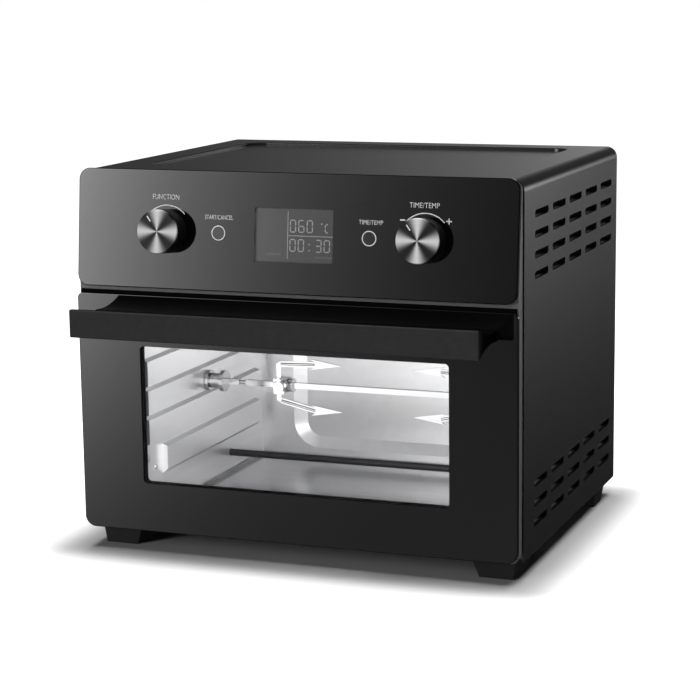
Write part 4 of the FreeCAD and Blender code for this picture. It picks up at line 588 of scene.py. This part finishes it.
def add_label(name, words, x_mm, up_mm, width_mm, height_mm):
    """Printed words, scaled to a width and a capital height."""
    curve = bpy.data.curves.new(name, "FONT")
    curve.body = words
    curve.align_x = "CENTER"
    curve.align_y = "CENTER"
    curve.extrude = LETTER_RAISE
    curve.offset = LETTER_THINNING
    text = bpy.data.objects.new(name + "_outline", curve)
    bpy.context.scene.collection.objects.link(text)
    bpy.context.view_layer.update()
    mesh = bpy.data.meshes.new_from_object(text.evaluated_get(bpy.context.evaluated_depsgraph_get()))
    bpy.data.objects.remove(text)
    low = Vector([min(vertex.co[axis] for vertex in mesh.vertices) for axis in range(3)])
    high = Vector([max(vertex.co[axis] for vertex in mesh.vertices) for axis in range(3)])
    size = high - low
    scale = Matrix.Diagonal((width_mm * MM / size.x, height_mm * MM / size.y, PRINT_THICK / size.z, 1))
    mesh.transform(scale @ Matrix.Translation(-(low + high) / 2))
    place = on_panel(x_mm * MM, up_mm * MM, out=PRINT_THICK / 4)    # a quarter of it is sunk in
    finish_piece(name, mesh, "print_white", "case", place)


def add_panel_print():
    for name, label in LABELS.items():
        add_label(name, *label)
    for name, (x_mm, outlines) in SIGNS.items():
        add_panel_mark(name, in_metres(outlines), on_panel(x_mm * MM, SIGNS_UP))
    for name, x in KNOB_X.items():
        sectors = ring_sectors(ARC_INNER_R, ARC_OUTER_R, *ARC_DEGREES, ARC_STEPS)
        add_panel_mark(name + "_arc", sectors, on_panel(x))


def add_button_ring(name):
    low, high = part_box(name)
    vertices, faces = flat_bars(ring_sectors(RING_INNER_R, RING_OUTER_R, 0, 360, RING_STEPS), PRINT_THICK)
    place = on_panel((low.x + high.x) / 2, out=BUTTON_PROUD)
    add_piece(name + "_ring", vertices, faces, "print_white", name + "_body", place)


# ---- display -------------------------------------------------------------------------------
LCD_DEPTH = 2.35 * MM
LCD_SIDE_MARGIN = 0.2 * MM
LCD_END_MARGIN = 0.4 * MM
# The layout is in millimetres, x from the oven's middle and up from the middle of the controls.
DIGIT_WIDTH = 4.7
DIGIT_HEIGHT = 9.8
STROKE = 0.95
STROKE_GAP = 0.25
SEGMENTS_OF = {"0": "abcdef", "3": "abcdg", "6": "acdefg", "C": "adef"}
TEMPERATURE_UP = 8.0
TEMPERATURE_DIGITS = (("0", 1.7), ("6", 9.3), ("0", 16.9))
DEGREE_SIGN = bar(27.0, 28.2, 9.9, 11.1)
CELSIUS = dict(symbol="C", centre_x=32.2, centre_y=6.7, width=2.8, height=6.6)
TIME_UP = -8.1
TIME_DIGITS = (("0", 1.7), ("0", 9.2), ("3", 25.0), ("0", 32.5))
COLON = (bar(16.2, 17.2, -7.4, -6.4), bar(16.2, 17.2, -12.6, -11.6))
DIVIDERS = (bar(-3.2, -2.6, -19.4, 20.2), bar(-2.6, 38.0, -0.4, 0.2))
LEFT_MARKS = dict(count=6, first=-22.5, pitch=2.4, width=1.4, low=-17.0, high=-15.6)
LEFT_MARKS_STEP = 0.5
RIGHT_MARKS = dict(count=9, first=21.5, pitch=1.8, width=1.1, low=-18.2, high=-16.9)


def stroke(start, end, middle, upright):
    """A bar with pointed ends from start to end, counter-clockwise."""
    half = STROKE / 2
    side = -half if upright else half
    points = [(start, middle), (start + half, middle - side), (end - half, middle - side), (end, middle),
              (end - half, middle + side), (start + half, middle + side)]
    return [(y, x) for x, y in points] if upright else points


def digit_outlines(symbol, centre_x, centre_y, width=DIGIT_WIDTH, height=DIGIT_HEIGHT):
    """The seven-segment strokes of one symbol."""
    left, right = centre_x - width / 2, centre_x + width / 2
    low, high = centre_y - height / 2, centre_y + height / 2
    level = {"a": high, "g": centre_y, "d": low}
    side = {"f": (left, centre_y, high), "b": (right, centre_y, high),
            "e": (left, low, centre_y), "c": (right, low, centre_y)}
    outlines = []
    for key in SEGMENTS_OF[symbol]:
        if key in level:
            outlines.append(stroke(left + STROKE_GAP, right - STROKE_GAP, level[key], upright=False))
        else:
            x, start, end = side[key]
            outlines.append(stroke(start + STROKE_GAP, end - STROKE_GAP, x, upright=True))
    return outlines


def digit_row(digits, up):
    return [outline for symbol, x in digits for outline in digit_outlines(symbol, x, up)]


def mark_row(count, first, pitch, width, low, high, step=0.0):
    """Small bars side by side, in threes whose height rises by a step from one to the next."""
    lefts = [first + pitch * index for index in range(count)]
    return [bar(left, left + width, low, high + step * (index % 3)) for index, left in enumerate(lefts)]


def add_display():
    low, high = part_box("display_lens")
    half_x = (high.x - low.x) / 2 - LCD_SIDE_MARGIN
    half_up = (high.z - low.z) / 2 - LCD_END_MARGIN
    vertices, faces = flat_bars([bar(-half_x, half_x, -half_up, half_up)], PRINT_THICK)
    place = on_panel((low.x + high.x) / 2, out=-LCD_DEPTH)
    add_piece("lcd_face", vertices, faces, "lcd_grey", "case", place)
    celsius = digit_outlines(**CELSIUS) + [DEGREE_SIGN]
    outlines = {
        "lcd_temperature": digit_row(TEMPERATURE_DIGITS, TEMPERATURE_UP) + celsius,
        "lcd_time": digit_row(TIME_DIGITS, TIME_UP) + list(COLON),
        "lcd_dividers": DIVIDERS,
        "lcd_small_marks": mark_row(**LEFT_MARKS, step=LEFT_MARKS_STEP) + mark_row(**RIGHT_MARKS),
    }
    for name, shapes in outlines.items():
        vertices, faces = flat_bars(in_metres(shapes), PRINT_THICK)
        finish = "lcd_faint" if name == "lcd_small_marks" else "lcd_light"
        place = on_panel(0, out=PRINT_THICK - LCD_DEPTH)
        add_piece(name, vertices, faces, finish, "case", place)


# ---- casing and oven details ---------------------------------------------------------------
SHEET = 1.0 * MM
VENT_LENGTH = 42.0 * MM
VENT_HEIGHT = 6.4 * MM
VENT_FIRST_Y = 52.0 * MM         # behind the wrap's front edge
VENT_PITCH_Y = 55.0 * MM
VENT_PITCH_Z = 17.1 * MM
VENT_COLUMNS = 5
VENT_ROWS = ((305.3 * MM, 4), (76.7 * MM, 3))    # height of each block's top row, and its rows
LOUVRE_DEPTH = 6.0 * MM
LOUVRE_SHEET = 0.8 * MM
LOUVRE_GAP = 0.05 * MM           # between the wrap and the pocket's rim
LOUVRE_STEPS_UP = 5
LOUVRE_STEPS_ALONG = 16
LOUVRE_FLAT_UP = 4               # powers: the higher they are, the flatter the pocket's bed
LOUVRE_FLAT_ALONG = 8

# The black strip on the frame's middle bar is painted shade in the gap above the door.
GAP_SHADE_PROUD = 0.15 * MM      # of the frame's face
GAP_SHADE_SINK = 0.02 * MM
GAP_SHADE_DROP = 6.0 * MM        # below the door's top edge
GAP_SHADE_RISE = 3.1 * MM
GAP_SHADE_BEVEL = (0.1 * MM, 0.2 * MM)           # in depth and in height
GAP_SHADE_MARGIN = 1.0 * MM      # at both sides of the frame

WINDOW_CORNER = 4.0 * MM
CORNER_STEPS = 8
WINDOW_LINER_SINK = 0.03 * MM
WINDOW_LINER_THICK = 0.35 * MM
WINDOW_LINER_SETBACK = 0.8 * MM  # behind the glass's face
WINDOW_LINER_GASKET_GAP = 0.1 * MM

WALL_FACE_X = 149.0 * MM
# Each screw's distance from the wall's front edge, height above the ground and head radius.
WALL_SCREWS = ((8 * MM, 78 * MM, 3.6 * MM), (23 * MM, 68 * MM, 2.2 * MM))
SCREW_HEAD_HEIGHT = 1.4 * MM
SCREW_STEPS = 32


def louvre(side, wall_x, centre_y, centre_z):
    """A closed pocket pressed inwards behind one vent slot."""
    points = []
    for row in range(LOUVRE_STEPS_UP + 1):
        up = row / LOUVRE_STEPS_UP
        line = []
        for column in range(LOUVRE_STEPS_ALONG + 1):
            along = 2 * column / LOUVRE_STEPS_ALONG - 1
            bed = (1 - (2 * up - 1) ** LOUVRE_FLAT_UP) * (1 - along ** LOUVRE_FLAT_ALONG)
            line.append((side * (wall_x - LOUVRE_DEPTH * math.sqrt(bed)),
                         centre_y + along * (VENT_LENGTH / 2 + LOUVRE_SHEET),
                         centre_z + (up - 0.5) * (VENT_HEIGHT + 2 * LOUVRE_SHEET)))
        points.append(line)
    return thick_grid(points, (-side * LOUVRE_SHEET, 0, 0))


def add_louvres():
    low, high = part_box("outer_wrap")
    wall_x = high.x - SHEET - LOUVRE_GAP
    heights = [top - row * VENT_PITCH_Z for top, rows in VENT_ROWS for row in range(rows)]
    for side, name in ((-1, "left_louvres"), (1, "right_louvres")):
        vertices, faces = [], []
        for height in heights:
            for column in range(VENT_COLUMNS):
                centre_y = low.y + VENT_FIRST_Y + column * VENT_PITCH_Y
                more, shell = louvre(side, wall_x, centre_y, height)
                faces += [[len(vertices) + i for i in face] for face in shell]
                vertices += more
        add_piece(name, vertices, faces, "louvre_black", "case", smooth=True)


def add_gap_shade_strip():
    """A black strip laid on the frame's middle bar, behind the top edge of the door, as painted shade in the gap
    there.
    """
    frame_low, frame_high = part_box("front_frame")
    door_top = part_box("door_panel")[1].z
    front, back = frame_low.y - GAP_SHADE_PROUD, frame_low.y + GAP_SHADE_SINK
    low, high = door_top - GAP_SHADE_DROP, door_top + GAP_SHADE_RISE
    in_depth, in_height = GAP_SHADE_BEVEL
    profile = [(front + in_depth, low), (front, low + in_height), (front, high - in_height),
               (front + in_depth, high), (back, high), (back, low)]
    reach = frame_high.x - GAP_SHADE_MARGIN
    vertices = [(x, y, z) for x in (-reach, reach) for y, z in profile]
    count = len(profile)
    faces = [list(range(count)), list(reversed(range(count, 2 * count)))] + band(count, 0, count)
    # a black strip standing in for the shade in the gap
    add_piece("gap_shade_strip", vertices, faces, "door_steel", "case")


def add_window_liner():
    """A matt black sleeve that lines the cut edge of the glass border and the tunnel behind it."""
    low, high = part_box("door_window")
    middle_z = (low.z + high.z) / 2
    straight_x = (high.x - low.x) / 2 - WINDOW_CORNER
    straight_z = (high.z - low.z) / 2 - WINDOW_CORNER
    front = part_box("door_panel")[0].y + WINDOW_LINER_SETBACK
    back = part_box("inner_glass_gasket")[0].y - WINDOW_LINER_GASKET_GAP
    vertices = []
    for shrink in (-WINDOW_LINER_SINK, WINDOW_LINER_THICK):
        for y in (front, back):
            for quarter, (sign_x, sign_z) in enumerate(((1, 1), (-1, 1), (-1, -1), (1, -1))):
                for step in range(CORNER_STEPS + 1):
                    angle = math.pi / 2 * (quarter + step / CORNER_STEPS)
                    x = sign_x * straight_x + (WINDOW_CORNER - shrink) * math.cos(angle)
                    z = sign_z * straight_z + (WINDOW_CORNER - shrink) * math.sin(angle)
                    vertices.append((x, y, middle_z + z))
    count = 4 * (CORNER_STEPS + 1)
    outer_front, outer_back, inner_front, inner_back = (ring * count for ring in range(4))
    loop = (outer_front, outer_back, inner_back, inner_front, outer_front)
    faces = [face for first, second in zip(loop, loop[1:]) for face in band(first, second, count)]
    add_piece("window_liner", vertices, faces, "door_steel", "door")


def screw_head(radius):
    """The profile of a low dome on a short rim."""
    return [(0, 0), (radius, 0), (radius, 0.5 * MM), (0.8 * radius, 1.0 * MM), (0.4 * radius, 1.3 * MM),
            (0, SCREW_HEAD_HEIGHT)]


def add_wall_screws():
    """Dome-headed screws low at the front of both oven walls."""
    front_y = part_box("cavity_left_wall")[0].y
    for number, (behind, height, radius) in enumerate(WALL_SCREWS, start=1):
        vertices, faces = lathe(screw_head(radius), SCREW_STEPS)
        for side, name in ((-1, "left"), (1, "right")):
            turn = Matrix.Rotation(-side * math.pi / 2, 4, "Y")
            place = Matrix.Translation((side * WALL_FACE_X, front_y + behind, height)) @ turn
            add_piece(f"{name}_wall_screw_{number}", vertices, faces, "zinc_steel", "case",
                      place, smooth=True)


# ---- build ---------------------------------------------------------------------------------
finishes = build_finishes()
dress_cad_nodes()
add_camera()
add_sky()
add_floor()
add_lights()
for knob_name, knob_x in KNOB_X.items():
    add_knob_cap(knob_name, knob_x)
add_panel_print()
for button in ("start_button", "time_temp_button"):
    add_button_ring(button)
add_display()
add_louvres()
add_gap_shade_strip()
add_window_liner()
add_wall_screws()
bpy.context.scene.view_settings.view_transform = "Standard"
